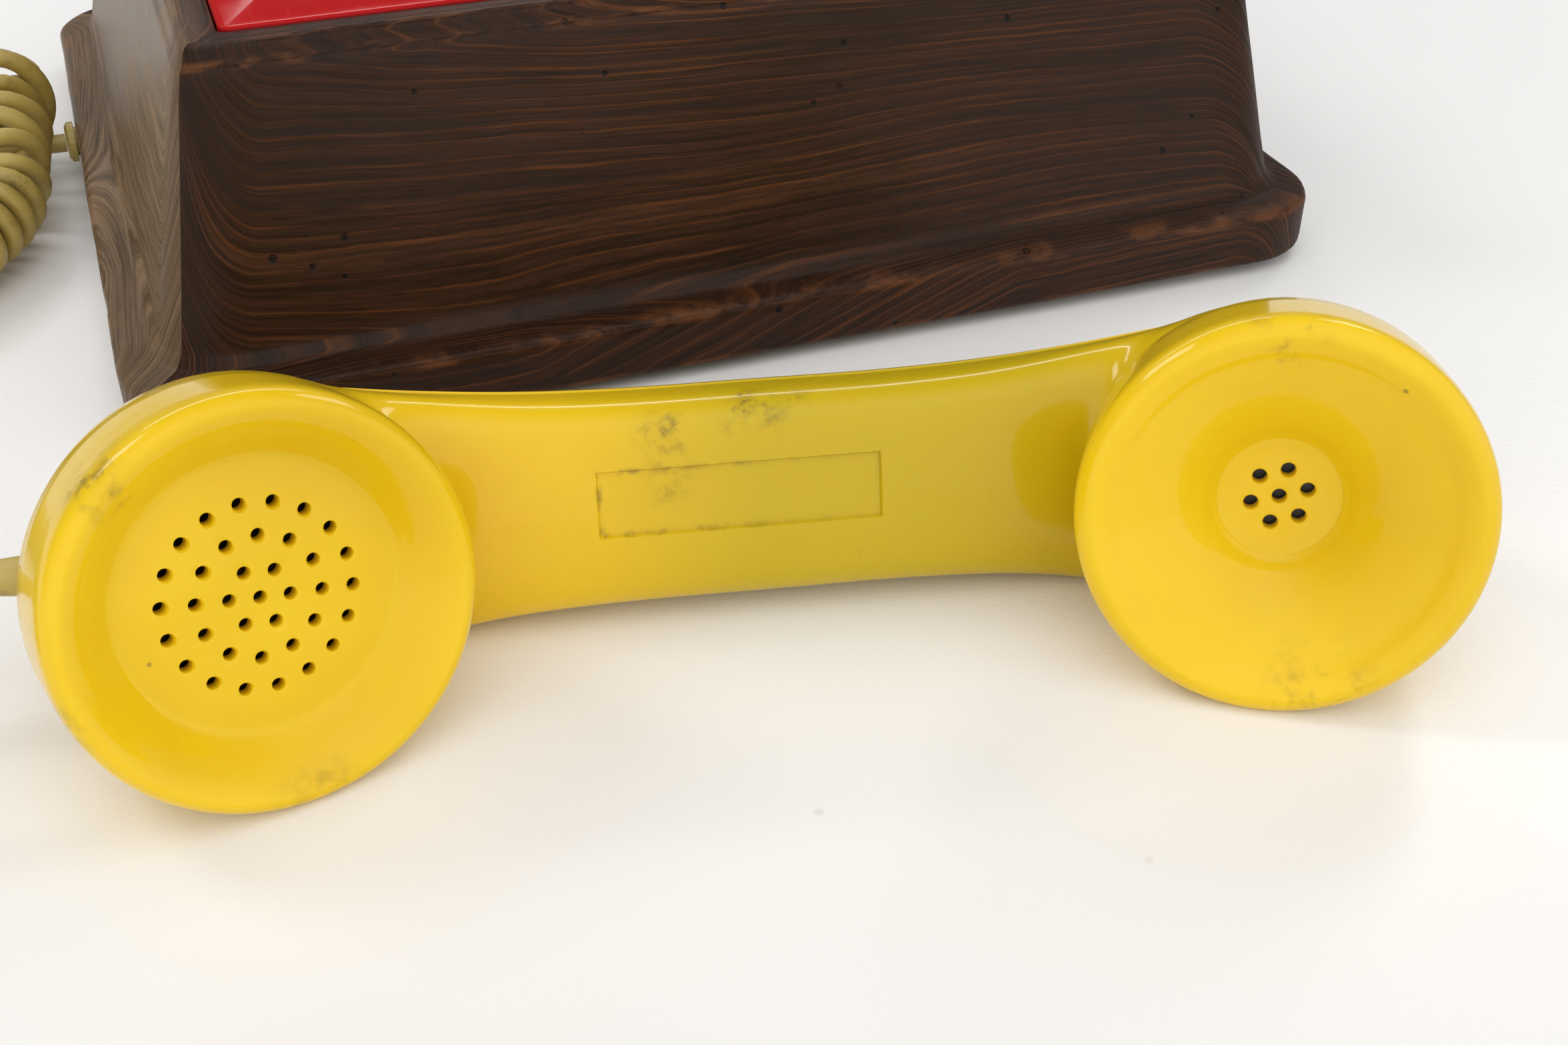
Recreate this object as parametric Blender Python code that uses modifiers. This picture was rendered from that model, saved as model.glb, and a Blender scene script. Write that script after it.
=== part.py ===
# Rotary wall telephone, laid on its back with the handset off the hook.
#
# Units are metres.  The frame's origin is the middle of the back plate's outer
# face, +Z points out of the wall towards the dial, +X points up the wall.
# Lengths below are written in millimetres and turned into metres by mm().

import math

import bmesh
import bpy
from mathutils import Matrix, Vector

# ------------------------------------------------------------------ dimensions
CASE_LEN = 252.0          # up the wall (X)
CASE_WID = 212.0          # across the wall (Y)
SIDE_TOP = 64.5           # where the leaning sides meet the rim
CASE_TOP = 68.5           # rim above the back plate's outer face
PLINTH_TOP = 11.6         # top of the upright edge of the plinth
RIM_INSET = 20.0          # rim's outer edge in from the plinth's edge
PANEL_INSET = 29.2        # face panel's edge in from the plinth's edge
PLINTH_R = 18.0           # plinth's corner radius
PANEL_T = 3.0
PANEL_TOP = 68.3
LIFT = PANEL_TOP - 60.0     # dial pieces are drawn over a panel top of 60
PLATE_T = 1.6             # steel back plate
PLATE_INSET = 5.3
BUMPER_H = 2.2
FLOOR = -2.5              # the surface the bumpers stand on
GAP = 0.3                 # gap between touching pieces

DIAL_X = -14.0            # dial centre, below the middle of the panel
DIAL_RING_R = 56.5
NUMBER_R = 52.0
WHEEL_R = 38.0
WHEEL_Z = (64.0, 66.6)
HOLE_R = 6.4              # finger holes
HOLE_PITCH_R = 28.8
STOP_DEG = 120.0          # finger stop, clockwise from the top
FIRST_DEG = 60.0          # hole "1", clockwise from the top

DRIVE_T, DRIVE_M = 48, 1.0
PINION_T = 12
COUNTER_T, COUNTER_M = 30, 0.8
GOV_T = 12
DRIVE_Z = (46.0, 48.4)
COUNTER_Z = (41.2, 43.2)
COUNTER_POS = (DIAL_X + (DRIVE_T + PINION_T) * DRIVE_M / 2.0, 0.0)
GOV_DIST = (COUNTER_T + GOV_T) * COUNTER_M / 2.0
GOV_ANGLE = 100.0
GOV_POS = (COUNTER_POS[0] + GOV_DIST * math.cos(math.radians(GOV_ANGLE)),
           COUNTER_POS[1] + GOV_DIST * math.sin(math.radians(GOV_ANGLE)))

GONG_R = 19.0
GONG_X, GONG_Y = 78.0, 24.0
CLAPPER_X = 46.0

HOOK_X, HOOK_Y, HOOK_Z = 60.0, 70.0, 40.0
LOUD_X, LOUD_Y, LOUD_Z, LOUD_R = 101.0, -30.0, 20.0, 15.4

CAP_R = 31.3              # both handset caps
HAND_SPAN = 147.5         # between the cap centres
TX_TILT = 24.0            # transmitter cap leans towards the middle
RX_TILT = 18.5
HAND_YAW = -11.8          # handset's direction on the table
HAND_LEAN = 17.6          # how far the caps look up
HAND_MID = (-37.3, -209.2)
HANDLE_W = 34.0
HANDLE_T = 22.0

CORD_D = 4.2
COIL_D = 17.8
CORD_EXIT = (-126.0, 31.0, 6.0)

S = 0.001


def mm(*v):
    return tuple(c * S for c in v)


# ------------------------------------------------------------------ scene setup
for ob in list(bpy.data.objects):
    bpy.data.objects.remove(ob, do_unlink=True)
for block in (bpy.data.meshes, bpy.data.curves, bpy.data.materials):
    for item in list(block):
        block.remove(item)

scene = bpy.context.scene
parts = bpy.data.collections.new("rotary_wall_phone")
cutters = bpy.data.collections.new("cutters")
scene.collection.children.link(parts)
scene.collection.children.link(cutters)


def material(name, rgb, rough, metal=0.0):
    mat = bpy.data.materials.new(name)
    mat.use_nodes = True
    bsdf = mat.node_tree.nodes["Principled BSDF"]
    bsdf.inputs["Base Color"].default_value = (*rgb, 1.0)
    bsdf.inputs["Roughness"].default_value = rough
    bsdf.inputs["Metallic"].default_value = metal
    mat.diffuse_color = (*rgb, 1.0)
    return mat


WOOD = material("dark_wood", (0.10, 0.04, 0.018), 0.45)
RED = material("red_panel", (0.60, 0.01, 0.02), 0.12)
YELLOW = material("yellow_plastic", (0.90, 0.62, 0.01), 0.2)
CORD = material("cord_vinyl", (0.52, 0.42, 0.10), 0.5)
STEEL = material("steel", (0.50, 0.50, 0.48), 0.35, 1.0)
CHROME = material("chrome", (0.75, 0.75, 0.76), 0.1, 1.0)
BRASS = material("brass", (0.70, 0.52, 0.22), 0.25, 1.0)
RUBBER = material("rubber", (0.02, 0.02, 0.02), 0.8)
WHITE = material("white_enamel", (0.85, 0.84, 0.80), 0.3)
BLACK = material("black_phenolic", (0.02, 0.02, 0.02), 0.4)
COPPER = material("enamelled_copper", (0.45, 0.18, 0.06), 0.35, 0.6)
PAPER = material("card", (0.88, 0.86, 0.78), 0.7)


# ------------------------------------------------------------------ helpers
def link(obj, mat, cutter=False):
    if cutter:
        cutters.objects.link(obj)
        obj.hide_render = True
        obj.display_type = 'WIRE'
    else:
        parts.objects.link(obj)
    if mat is not None:
        obj.data.materials.append(mat)
    return obj


def mesh_object(name, bm, mat, loc=(0, 0, 0), rot=None, cutter=False, smooth=True):
    me = bpy.data.meshes.new(name)
    bm.to_mesh(me)
    bm.free()
    ob = bpy.data.objects.new(name, me)
    link(ob, mat, cutter)
    if smooth:
        me.shade_smooth()
        me.set_sharp_from_angle(angle=math.radians(35))
    ob.location = mm(*loc)
    if rot is not None:
        ob.rotation_euler = rot
    return ob


def cylinder(name, r, z0, z1, mat, seg=24, loc=(0, 0, 0), rot=None, cutter=False, r2=None, turn=0.0):
    bm = bmesh.new()
    bmesh.ops.create_cone(bm, cap_ends=True, segments=seg, radius1=r * S,
                          radius2=(r if r2 is None else r2) * S, depth=(z1 - z0) * S,
                          matrix=Matrix.Translation((0, 0, (z0 + z1) / 2 * S)) @ Matrix.Rotation(turn, 4, 'Z'))
    return mesh_object(name, bm, mat, loc, rot, cutter)


def block(name, lo, hi, mat, cutter=False, bevel=0.0, loc=(0, 0, 0), rot=None):
    bm = bmesh.new()
    size = [(hi[i] - lo[i]) * S for i in range(3)]
    mid = [(hi[i] + lo[i]) / 2 * S for i in range(3)]
    bmesh.ops.create_cube(bm, size=1.0, matrix=Matrix.Translation(mid) @ Matrix.Diagonal((*size, 1.0)))
    ob = mesh_object(name, bm, mat, loc, rot, cutter, smooth=False)
    if bevel:
        m = ob.modifiers.new("edge", 'BEVEL')
        m.width = bevel * S
        m.segments = 2
    return ob


def prism(name, outline, z0, z1, mat, loc=(0, 0, 0), rot=None, cutter=False):
    """A flat outline drawn anticlockwise and extruded along Z."""
    bm = bmesh.new()
    face = bm.faces.new([bm.verts.new((x * S, y * S, z0 * S)) for x, y in outline])
    made = bmesh.ops.extrude_face_region(bm, geom=[face])
    bmesh.ops.translate(bm, vec=(0, 0, (z1 - z0) * S),
                        verts=[g for g in made["geom"] if isinstance(g, bmesh.types.BMVert)])
    bmesh.ops.recalc_face_normals(bm, faces=bm.faces)
    return mesh_object(name, bm, mat, loc, rot, cutter)


def turned(name, profile, mat, steps=28, ring=False, loc=(0, 0, 0), rot=None, cutter=False):
    """A profile (radius, z) run down the outer side and spun about Z.
    ring: the profile is a closed loop that stays clear of the axis."""
    me = bpy.data.meshes.new(name)
    n = len(profile)
    edges = [(i, i + 1) for i in range(n - 1)]
    if ring:
        edges.append((n - 1, 0))
    me.from_pydata([(r * S, 0, z * S) for r, z in profile], edges, [])
    ob = bpy.data.objects.new(name, me)
    link(ob, mat, cutter)
    m = ob.modifiers.new("turn", 'SCREW')
    m.axis = 'Z'
    m.angle = math.radians(360)
    m.steps = m.render_steps = steps
    m.use_merge_vertices = True
    m.merge_threshold = 0.000001
    m.use_smooth_shade = True
    ob.location = mm(*loc)
    if rot is not None:
        ob.rotation_euler = rot
    return ob


def tube(name, pts, d, mat, res=2, smooth_pts=None):
    """A round rod or cord along pts, as a poly curve with filled caps."""
    cu = bpy.data.curves.new(name, 'CURVE')
    cu.dimensions = '3D'
    cu.bevel_depth = d / 2 * S
    cu.bevel_resolution = res
    cu.use_fill_caps = True
    cu.resolution_u = 1
    sp = cu.splines.new('POLY')
    sp.points.add(len(pts) - 1)
    for p, q in zip(sp.points, pts):
        p.co = (q[0] * S, q[1] * S, q[2] * S, 1.0)
    ob = bpy.data.objects.new(name, cu)
    return link(ob, mat)


def as_mesh(ob, cutter=False):
    """A curve made into a closed mesh with welded caps."""
    dg = bpy.context.evaluated_depsgraph_get()
    me = bpy.data.meshes.new_from_object(ob.evaluated_get(dg))
    bm = bmesh.new()
    bm.from_mesh(me)
    bmesh.ops.remove_doubles(bm, verts=bm.verts, dist=0.000001)
    bmesh.ops.recalc_face_normals(bm, faces=bm.faces)
    bm.to_mesh(me)
    bm.free()
    name, mw = ob.name, ob.matrix_world.copy()
    bpy.data.objects.remove(ob, do_unlink=True)
    new = bpy.data.objects.new(name, me)
    if cutter:
        link(new, None, True)
    else:
        parts.objects.link(new)
    new.matrix_world = mw
    return new


def cut(ob, *tools, op='DIFFERENCE'):
    for t in tools:
        m = ob.modifiers.new("cut", 'BOOLEAN')
        m.operation = op
        m.solver = 'EXACT'
        m.object = t
    return ob


def join(ob, *tools):
    return cut(ob, *tools, op='UNION')


def loft(name, rings, mat, closed_path=False, cap=True):
    """Skin a list of rings that have the same number of points."""
    bm = bmesh.new()
    vs = [[bm.verts.new(mm(*p)) for p in ring] for ring in rings]
    n = len(rings[0])
    count = len(rings)
    last = count if closed_path else count - 1
    for i in range(last):
        a, b = vs[i], vs[(i + 1) % count]
        for j in range(n):
            k = (j + 1) % n
            bm.faces.new((a[j], a[k], b[k], b[j]))
    if cap and not closed_path:
        bm.faces.new(list(reversed(vs[0])))
        bm.faces.new(vs[-1])
    bmesh.ops.recalc_face_normals(bm, faces=bm.faces)
    return mesh_object(name, bm, mat)


def rounded_rect(hx, hy, r, z, per=4):
    pts = []
    for cx, cy, a0 in ((hx - r, hy - r, 0), (-hx + r, hy - r, 90), (-hx + r, -hy + r, 180), (hx - r, -hy + r, 270)):
        for k in range(per + 1):
            a = math.radians(a0 + 90.0 * k / per)
            pts.append((cx + r * math.cos(a), cy + r * math.sin(a), z))
    return pts


def smooth_path(pts, count):
    """Points evenly spread along a Catmull-Rom curve through pts."""
    P = [Vector(p) for p in pts]
    P = [P[0] * 2 - P[1]] + P + [P[-1] * 2 - P[-2]]
    fine = []
    for i in range(1, len(P) - 2):
        for k in range(24):
            t = k / 24.0
            p0, p1, p2, p3 = P[i - 1], P[i], P[i + 1], P[i + 2]
            fine.append(0.5 * ((2 * p1) + (p2 - p0) * t + (2 * p0 - 5 * p1 + 4 * p2 - p3) * t * t
                               + (3 * p1 - 3 * p2 + p3 - p0) * t ** 3))
    fine.append(P[-2])
    run = [0.0]
    for a, b in zip(fine, fine[1:]):
        run.append(run[-1] + (b - a).length)
    out = []
    j = 0
    for k in range(count):
        s = run[-1] * k / (count - 1)
        while j < len(run) - 2 and run[j + 1] < s:
            j += 1
        f = (s - run[j]) / max(run[j + 1] - run[j], 1e-9)
        out.append(tuple(fine[j].lerp(fine[j + 1], min(max(f, 0), 1))))
    return out


# ------------------------------------------------------------------ wooden case
def case_inset(z):
    """How far the leaning side stands in from the plinth's edge at height z."""
    t = min(max((z - 13.4) / (SIDE_TOP - 13.4), 0.0), 1.0)
    return 8.2 + (RIM_INSET - 8.2) * t ** 0.95


outer = [(1.2, 0.0), (0.0, 1.2), (0.0, 10.6), (1.0, PLINTH_TOP), (6.0, 12.4), (7.4, 13.2)]
outer += [(case_inset(z), z) for z in (15.0, 26.0, 39.0, 52.0, SIDE_TOP - 0.4)]
outer += [(RIM_INSET + 0.5, SIDE_TOP + 0.2), (RIM_INSET + 1.5, CASE_TOP - 1.2), (RIM_INSET + 2.6, CASE_TOP),
          (RIM_INSET + 3.8, CASE_TOP - 0.2), (PANEL_INSET - 0.4, CASE_TOP - 0.6)]
inner = [(PANEL_INSET - 0.4, PANEL_TOP - PANEL_T - GAP), (34.0, PANEL_TOP - PANEL_T - GAP), (34.0, 61.0), (29.5, 60.4),
         (27.0, 46.0), (22.5, 30.0), (18.5, 16.0), (14.5, 6.0), (11.0, PLATE_T + 0.4),
         (5.0, PLATE_T + 0.4), (5.0, 0.0)]
rings = []
for inset, z in outer + inner:
    r = max(PLINTH_R - 0.75 * inset, 2.6)
    rings.append(rounded_rect(CASE_LEN / 2 - inset, CASE_WID / 2 - inset, r, z))
wood_case = loft("wood_case", rings, WOOD, closed_path=True, cap=False)

SCREW_POS = [(sx * 116.0, sy * 60.0) for sx in (-1, 1) for sy in (-1, 1)]
cuts = [block("hook_slot_cut", (HOOK_X - 10.0, 74.0, 35.0), (HOOK_X + 4.0, 112.0, 45.0), None, cutter=True),
        block("loud_slot_cut", (96.0, LOUD_Y - LOUD_R - 0.6, LOUD_Z - 2.3), (126.0, LOUD_Y + LOUD_R + 0.6, LOUD_Z + 2.3), None, cutter=True),
        cylinder("cord_hole_cut", 3.6, -20, 20, None, seg=16, loc=(-119.0, CORD_EXIT[1], CORD_EXIT[2]),
                 rot=(0, math.pi / 2, 0), cutter=True)]
for i, (x, y) in enumerate(SCREW_POS):
    cuts.append(cylinder("screw_hole_cut_%d" % i, 1.8, -1.0, 8.6, None, seg=12, loc=(x, y, 0), cutter=True))
cut(wood_case, *cuts)

# ------------------------------------------------------------------ face panel
hx, hy = CASE_LEN / 2 - PANEL_INSET, CASE_WID / 2 - PANEL_INSET
panel_rings = [rounded_rect(hx, hy, 2.2, PANEL_TOP - PANEL_T), rounded_rect(hx, hy, 2.2, PANEL_TOP - 0.5),
               rounded_rect(hx - 0.5, hy - 0.5, 1.8, PANEL_TOP)]
face_panel = loft("face_panel", panel_rings, RED)
cut(face_panel, cylinder("dial_hole_cut", 34.0, 50, 66, None, seg=40, loc=(DIAL_X, 0, LIFT), cutter=True))

# ------------------------------------------------------------------ back plate
px, py = CASE_LEN / 2 - PLATE_INSET, CASE_WID / 2 - PLATE_INSET
back_plate = loft("back_plate", [rounded_rect(px, py, 14.6, 0.0), rounded_rect(px, py, 14.6, PLATE_T)], STEEL)
pc = []
for i, (x, y) in enumerate(SCREW_POS):
    pc.append(cylinder("plate_screw_cut_%d" % i, 4.45, -0.4, 2.0, None, seg=12, loc=(x, y, 0), cutter=True, r2=1.75))
KEYHOLES = [(110.0, 0.0), (-99.0, 0.0)]
for i, (x, y) in enumerate(KEYHOLES):
    pc.append(cylinder("key_round_cut_%d" % i, 5.0, -2, 4, None, seg=20, loc=(x - 8.0, y, 0), cutter=True))
    pc.append(block("key_slot_cut_%d" % i, (x - 8.0, y - 2.4, -2), (x + 4.0, y + 2.4, 4), None, cutter=True))
for i in range(6):
    y = -62.5 + 5.0 * i
    pc.append(block("sound_slot_cut_%d" % i, (56.0, y - 1.1, -2), (92.0, y + 1.1, 4), None, cutter=True))
LINE_POS = (0.0, -72.0)
pc.append(cylinder("line_hole_cut", 6.0, -2, 4, None, seg=20, loc=(*LINE_POS, 0), cutter=True))
cut(back_plate, *pc)

# countersunk wood screws, flush with the plate's outer face
for i, (x, y) in enumerate(SCREW_POS):
    turned("back_screw_%d" % (i + 1),
           [(0, 8.0), (1.4, 7.2), (1.4, 1.75), (3.3, 0.15), (3.3, 0.05), (0, 0.05)],
           STEEL, steps=12, loc=(x, y, 0))

# rubber bumpers
for i, (x, y) in enumerate([(sx * 104.0, sy * 86.0) for sx in (-1, 1) for sy in (-1, 1)]):
    turned("bumper_%d" % (i + 1),
           [(0, -GAP), (7.0, -GAP), (6.6, FLOOR + 0.4), (6.0, FLOOR), (0, FLOOR)], RUBBER, steps=18, loc=(x, y, 0))

# ------------------------------------------------------------------ dial, fixed pieces
turned("dial_ring", [(DIAL_RING_R - 1.6, 66.0), (DIAL_RING_R, 64.6), (DIAL_RING_R, 60.0 + GAP),
                     (NUMBER_R + 0.4, 60.0 + GAP), (NUMBER_R + 0.4, 65.4), (NUMBER_R + 1.2, 66.0)][::1],
       CHROME, steps=40, ring=True, loc=(DIAL_X, 0, LIFT))
turned("number_plate", [(NUMBER_R - 0.5, 62.3), (NUMBER_R, 61.8), (NUMBER_R, 60.0 + GAP), (8.4, 60.0 + GAP), (8.4, 62.3)],
       WHITE, steps=40, ring=True, loc=(DIAL_X, 0, LIFT))


def clock(r, deg):
    """A point on the dial, deg clockwise from the top as the user sees it."""
    a = math.radians(deg)
    return DIAL_X + r * math.cos(a), -r * math.sin(a)


# finger stop: a bent strip over the wheel with its foot on the number plate
a = -math.radians(STOP_DEG)
stop = block("finger_stop", (25.5, -2.0, 67.6), (49.0, 2.0, 69.0), CHROME)
foot = block("stop_foot", (40.5, -2.4, 62.6), (49.0, 2.4, 68.6), None, cutter=True)
nose = cylinder("stop_nose", 3.2, 67.6, 69.0, None, seg=16, loc=(25.5, 0, 0), cutter=True)
join(stop, foot, nose)
pivot = bpy.data.objects.new("stop_frame", None)
scene.collection.objects.link(pivot)
pivot.location = mm(DIAL_X, 0, LIFT)
pivot.rotation_euler = (0, 0, a)
for ob in (stop, foot, nose):
    ob.parent = pivot

# mechanism frame: front plate with three pillars, and a rear plate
dial_frame = turned("dial_frame", [(42.0, 56.7), (42.0, 54.7), (5.5, 54.7), (5.5, 56.7)], STEEL, steps=36, ring=True,
                    loc=(DIAL_X, 0, LIFT))
pillars = []
for i, deg in enumerate((90, 210, 330)):
    x, y = DIAL_X + 38.0 * math.cos(math.radians(deg)), 38.0 * math.sin(math.radians(deg))
    pillars.append(cylinder("pillar_%d" % i, 2.6, 35.3, 55.2, None, seg=14, loc=(x, y, LIFT), cutter=True))
join(dial_frame, *pillars)
cut(dial_frame, cylinder("counter_top_cut", 1.35, 50, 60, None, seg=14, loc=(*COUNTER_POS, LIFT), cutter=True),
    cylinder("gov_top_cut", 1.15, 50, 60, None, seg=14, loc=(*GOV_POS, LIFT), cutter=True))
rear = turned("dial_rear_plate", [(42.0, 35.0), (42.0, 33.4), (3.15, 33.4), (3.15, 35.0)], STEEL, steps=36, ring=True,
              loc=(DIAL_X, 0, LIFT))
cut(rear, cylinder("counter_rear_cut", 1.35, 30, 38, None, seg=14, loc=(*COUNTER_POS, LIFT), cutter=True),
    cylinder("gov_rear_cut", 1.15, 30, 38, None, seg=14, loc=(*GOV_POS, LIFT), cutter=True))
turned("dial_bush", [(7.4, 58.6), (7.4, 57.0), (5.2, 57.0), (5.2, 53.6), (3.1, 53.6), (3.1, 58.6)], BRASS, steps=24, ring=True,
       loc=(DIAL_X, 0, LIFT))

# mainspring: a flat spiral strip around the spindle
spiral_in, spiral_out = [], []
turns, seg = 3.6, 14
for k in range(int(turns * seg) + 1):
    t = 2 * math.pi * k / seg
    r = 6.0 + 2.6 * t / (2 * math.pi)
    spiral_out.append(((r + 0.35) * math.cos(t), (r + 0.35) * math.sin(t)))
    spiral_in.append(((r - 0.35) * math.cos(t), (r - 0.35) * math.sin(t)))
prism("mainspring", spiral_out + spiral_in[::-1], 49.4, 52.8, STEEL, loc=(DIAL_X, 0, LIFT))

# governor cup and pulse contacts
turned("governor_cup", [(8.6, 40.4), (8.6, 35.4), (1.6, 35.4), (1.6, 36.4), (7.6, 36.4), (7.6, 40.4)], BRASS, steps=24, ring=True,
       loc=(*GOV_POS, LIFT))
contact_x = COUNTER_POS[0] + 7.4
contacts = block("pulse_contacts", (contact_x, -6.5, 49.8 + LIFT), (contact_x + 0.5, 12.0, 52.2 + LIFT), BRASS)
join(contacts, block("contact_leaf", (contact_x + 1.9, -6.5, 49.8 + LIFT), (contact_x + 2.4, 12.0, 52.2 + LIFT), None, cutter=True),
     block("contact_stack", (contact_x - 0.6, 8.4, 49.3 + LIFT), (contact_x + 3.4, 13.6, 54.4 + LIFT), None, cutter=True))


# ------------------------------------------------------------------ gears
def gear_outline(teeth, module, phase=0.0, add=0.9, ded=1.2, thick=0.90):
    """Outline of a spur gear with 20 degree involute flanks and a little backlash."""
    pa = math.radians(20)
    rp = teeth * module / 2
    rb = rp * math.cos(pa)
    ra = rp + add * module
    rf = rp - ded * module
    half = math.pi / (2 * teeth) * thick
    inv_p = math.tan(pa) - pa
    pts = []
    r0 = max(rb, rf + 0.02)
    radii = [r0, ra]
    for k in range(teeth):
        c = phase + 2 * math.pi * k / teeth
        left = []
        for r in radii:
            al = math.acos(min(rb / r, 1.0))
            th = half + inv_p - (math.tan(al) - al)
            left.append((r, th))
        root = half + inv_p
        pts.append((rf * math.cos(c - root), rf * math.sin(c - root)))
        pts += [(r * math.cos(c - th), r * math.sin(c - th)) for r, th in left]
        pts += [(r * math.cos(c + th), r * math.sin(c + th)) for r, th in reversed(left)]
        pts.append((rf * math.cos(c + root), rf * math.sin(c + root)))
    return pts


def shaft_union(ob, r, z0, z1, seg=16):
    t = cylinder(ob.name + "_shaft", r, z0, z1, None, seg=seg, cutter=True)
    t.location = ob.location
    join(ob, t)
    return ob


# the drive gear meshes with the counter pinion on the line of centres (+X)
drive_gear = prism("drive_gear", gear_outline(DRIVE_T, DRIVE_M, 0.0), *DRIVE_Z, BRASS, loc=(DIAL_X, 0, LIFT))
cut(drive_gear, cylinder("drive_bore_cut", 3.3, 40, 55, None, seg=20, loc=(DIAL_X, 0, LIFT), cutter=True))
counter_shaft = prism("counter_shaft", gear_outline(PINION_T, DRIVE_M, math.pi + math.pi / PINION_T),
                      DRIVE_Z[0] - 0.2, DRIVE_Z[1] + 0.2, STEEL, loc=(*COUNTER_POS, LIFT))
shaft_union(counter_shaft, 1.2, 33.6, 56.4)
# counter gear meshes with the governor pinion along GOV_ANGLE
ga = math.radians(GOV_ANGLE)
counter_gear = prism("counter_gear", gear_outline(COUNTER_T, COUNTER_M, ga), *COUNTER_Z, BRASS, loc=(*COUNTER_POS, LIFT))
cut(counter_gear, cylinder("counter_bore_cut", 1.5, 38, 46, None, seg=16, loc=(*COUNTER_POS, LIFT), cutter=True))
governor_shaft = prism("governor_shaft", gear_outline(GOV_T, COUNTER_M, ga + math.pi + math.pi / GOV_T),
                       COUNTER_Z[0] - 0.2, COUNTER_Z[1] + 0.2, STEEL, loc=(*GOV_POS, LIFT))
shaft_union(governor_shaft, 1.0, 33.6, 56.4)
weights = cylinder("governor_weights", 2.6, 37.0, 39.8, BRASS, seg=16, loc=(*GOV_POS, LIFT))
join(weights, block("weight_arm", (-6.4, -1.1, 37.4), (6.4, 1.1, 39.4), None, cutter=True, loc=(*GOV_POS, LIFT)))
cut(weights, cylinder("weight_bore", 1.3, 30, 45, None, seg=16, loc=(*GOV_POS, LIFT), cutter=True))
cam = []
for k in range(30):
    t = 2 * math.pi * k / 30
    r = 5.6 + 0.9 * math.cos(3 * t)
    cam.append((r * math.cos(t), r * math.sin(t)))
pulse_cam = prism("pulse_cam", cam, 50.2, 51.8, BLACK, loc=(*COUNTER_POS, LIFT))
cut(pulse_cam, cylinder("cam_bore_cut", 1.5, 48, 54, None, seg=16, loc=(*COUNTER_POS, LIFT), cutter=True))

# ------------------------------------------------------------------ dial, turning pieces
turned("dial_spindle", [(0, 67.2), (2.6, 67.2), (2.6, 63.4), (6.6, 63.4), (6.6, 61.2), (3.0, 61.2), (3.0, 33.6), (0, 33.6)],
       STEEL, steps=20, loc=(DIAL_X, 0, LIFT))
wheel = turned("finger_wheel", [(WHEEL_R - 0.9, WHEEL_Z[1]), (WHEEL_R, WHEEL_Z[1] - 0.9), (WHEEL_R, WHEEL_Z[0] + 0.5),
                                (WHEEL_R - 0.5, WHEEL_Z[0]), (2.9, WHEEL_Z[0]), (2.9, 65.4), (15.6, 65.4), (15.6, WHEEL_Z[1])],
               YELLOW, steps=48, ring=True, loc=(DIAL_X, 0, LIFT))
holes = []
for k in range(10):
    x, y = clock(HOLE_PITCH_R, FIRST_DEG - 30.0 * k)
    holes.append(cylinder("finger_cut_%d" % k, HOLE_R, 60, 70, None, seg=16, loc=(x, y, LIFT), cutter=True))
cut(wheel, *holes)
turned("number_card", [(15.2, 66.3), (15.2, 65.7), (3.0, 65.7), (3.0, 66.3)], PAPER, steps=28, ring=True, loc=(DIAL_X, 0, LIFT))
turned("card_window", [(0, 69.0), (4.0, 68.8), (10.0, 68.2), (14.4, 67.3), (14.8, 66.6), (10.0, 66.7), (3.2, 67.5), (0, 67.5)],
       CHROME, steps=28, loc=(DIAL_X, 0, LIFT))

# ------------------------------------------------------------------ ringer
frame = block("ringer_frame", (12.0, -42.0, PLATE_T + GAP), (95.0, 42.0, 3.6), STEEL, bevel=0.4)
ad = []
for sy in (-1, 1):
    ad.append(cylinder("gong_post_%d" % sy, 3.0, 3.0, 31.7, None, seg=16, loc=(GONG_X, sy * GONG_Y, 0), cutter=True))
    ad.append(block("coil_ear_%d" % sy, (15.0, sy * 22.6 - 1.2, 3.0), (37.0, sy * 22.6 + 1.2, 24.0), None, cutter=True))
ad.append(cylinder("clapper_post", 2.6, 3.0, 22.6, None, seg=16, loc=(CLAPPER_X, 0, 0), cutter=True))
ad.append(cylinder("clapper_pin", 1.4, 20.0, 29.5, None, seg=14, loc=(CLAPPER_X, 0, 0), cutter=True))
join(frame, *ad)
coil = cylinder("ringer_coil", 8.2, -21.1, 21.1, COPPER, seg=24, loc=(26.0, 0, 14.4), rot=(math.pi / 2, 0, 0))
for sy in (-1, 1):
    join(coil, cylinder("coil_end_%d" % sy, 9.6, sy * 20.2 - 0.9, sy * 20.2 + 0.9, None, seg=24, loc=(26.0, 0, 14.4),
                        rot=(math.pi / 2, 0, 0), cutter=True))
for side, sy in (("left", 1), ("right", -1)):
    turned("gong_" + side, [(3.3, 33.4), (11.0, 32.8), (16.4, 30.2), (GONG_R, 22.0), (17.9, 22.0),
                            (15.4, 29.2), (10.6, 31.6), (3.3, 32.0)],
           BRASS, steps=24, ring=True, loc=(GONG_X, sy * GONG_Y, 0))
    turned("gong_screw_" + side, [(0, 36.0), (2.6, 35.8), (4.6, 34.6), (4.6, 33.8), (2.7, 33.8), (2.7, 32.0), (0, 32.0)],
           STEEL, steps=14, loc=(GONG_X, sy * GONG_Y, 0))
clapper = block("clapper", (34.0, -1.0, 24.0), (GONG_X - 1.0, 1.0, 26.6), STEEL)
bm = bmesh.new()
bmesh.ops.create_uvsphere(bm, u_segments=14, v_segments=8, radius=3.0 * S)
ball = mesh_object("clapper_ball", bm, None, loc=(GONG_X, 0, 25.3), cutter=True)
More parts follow.
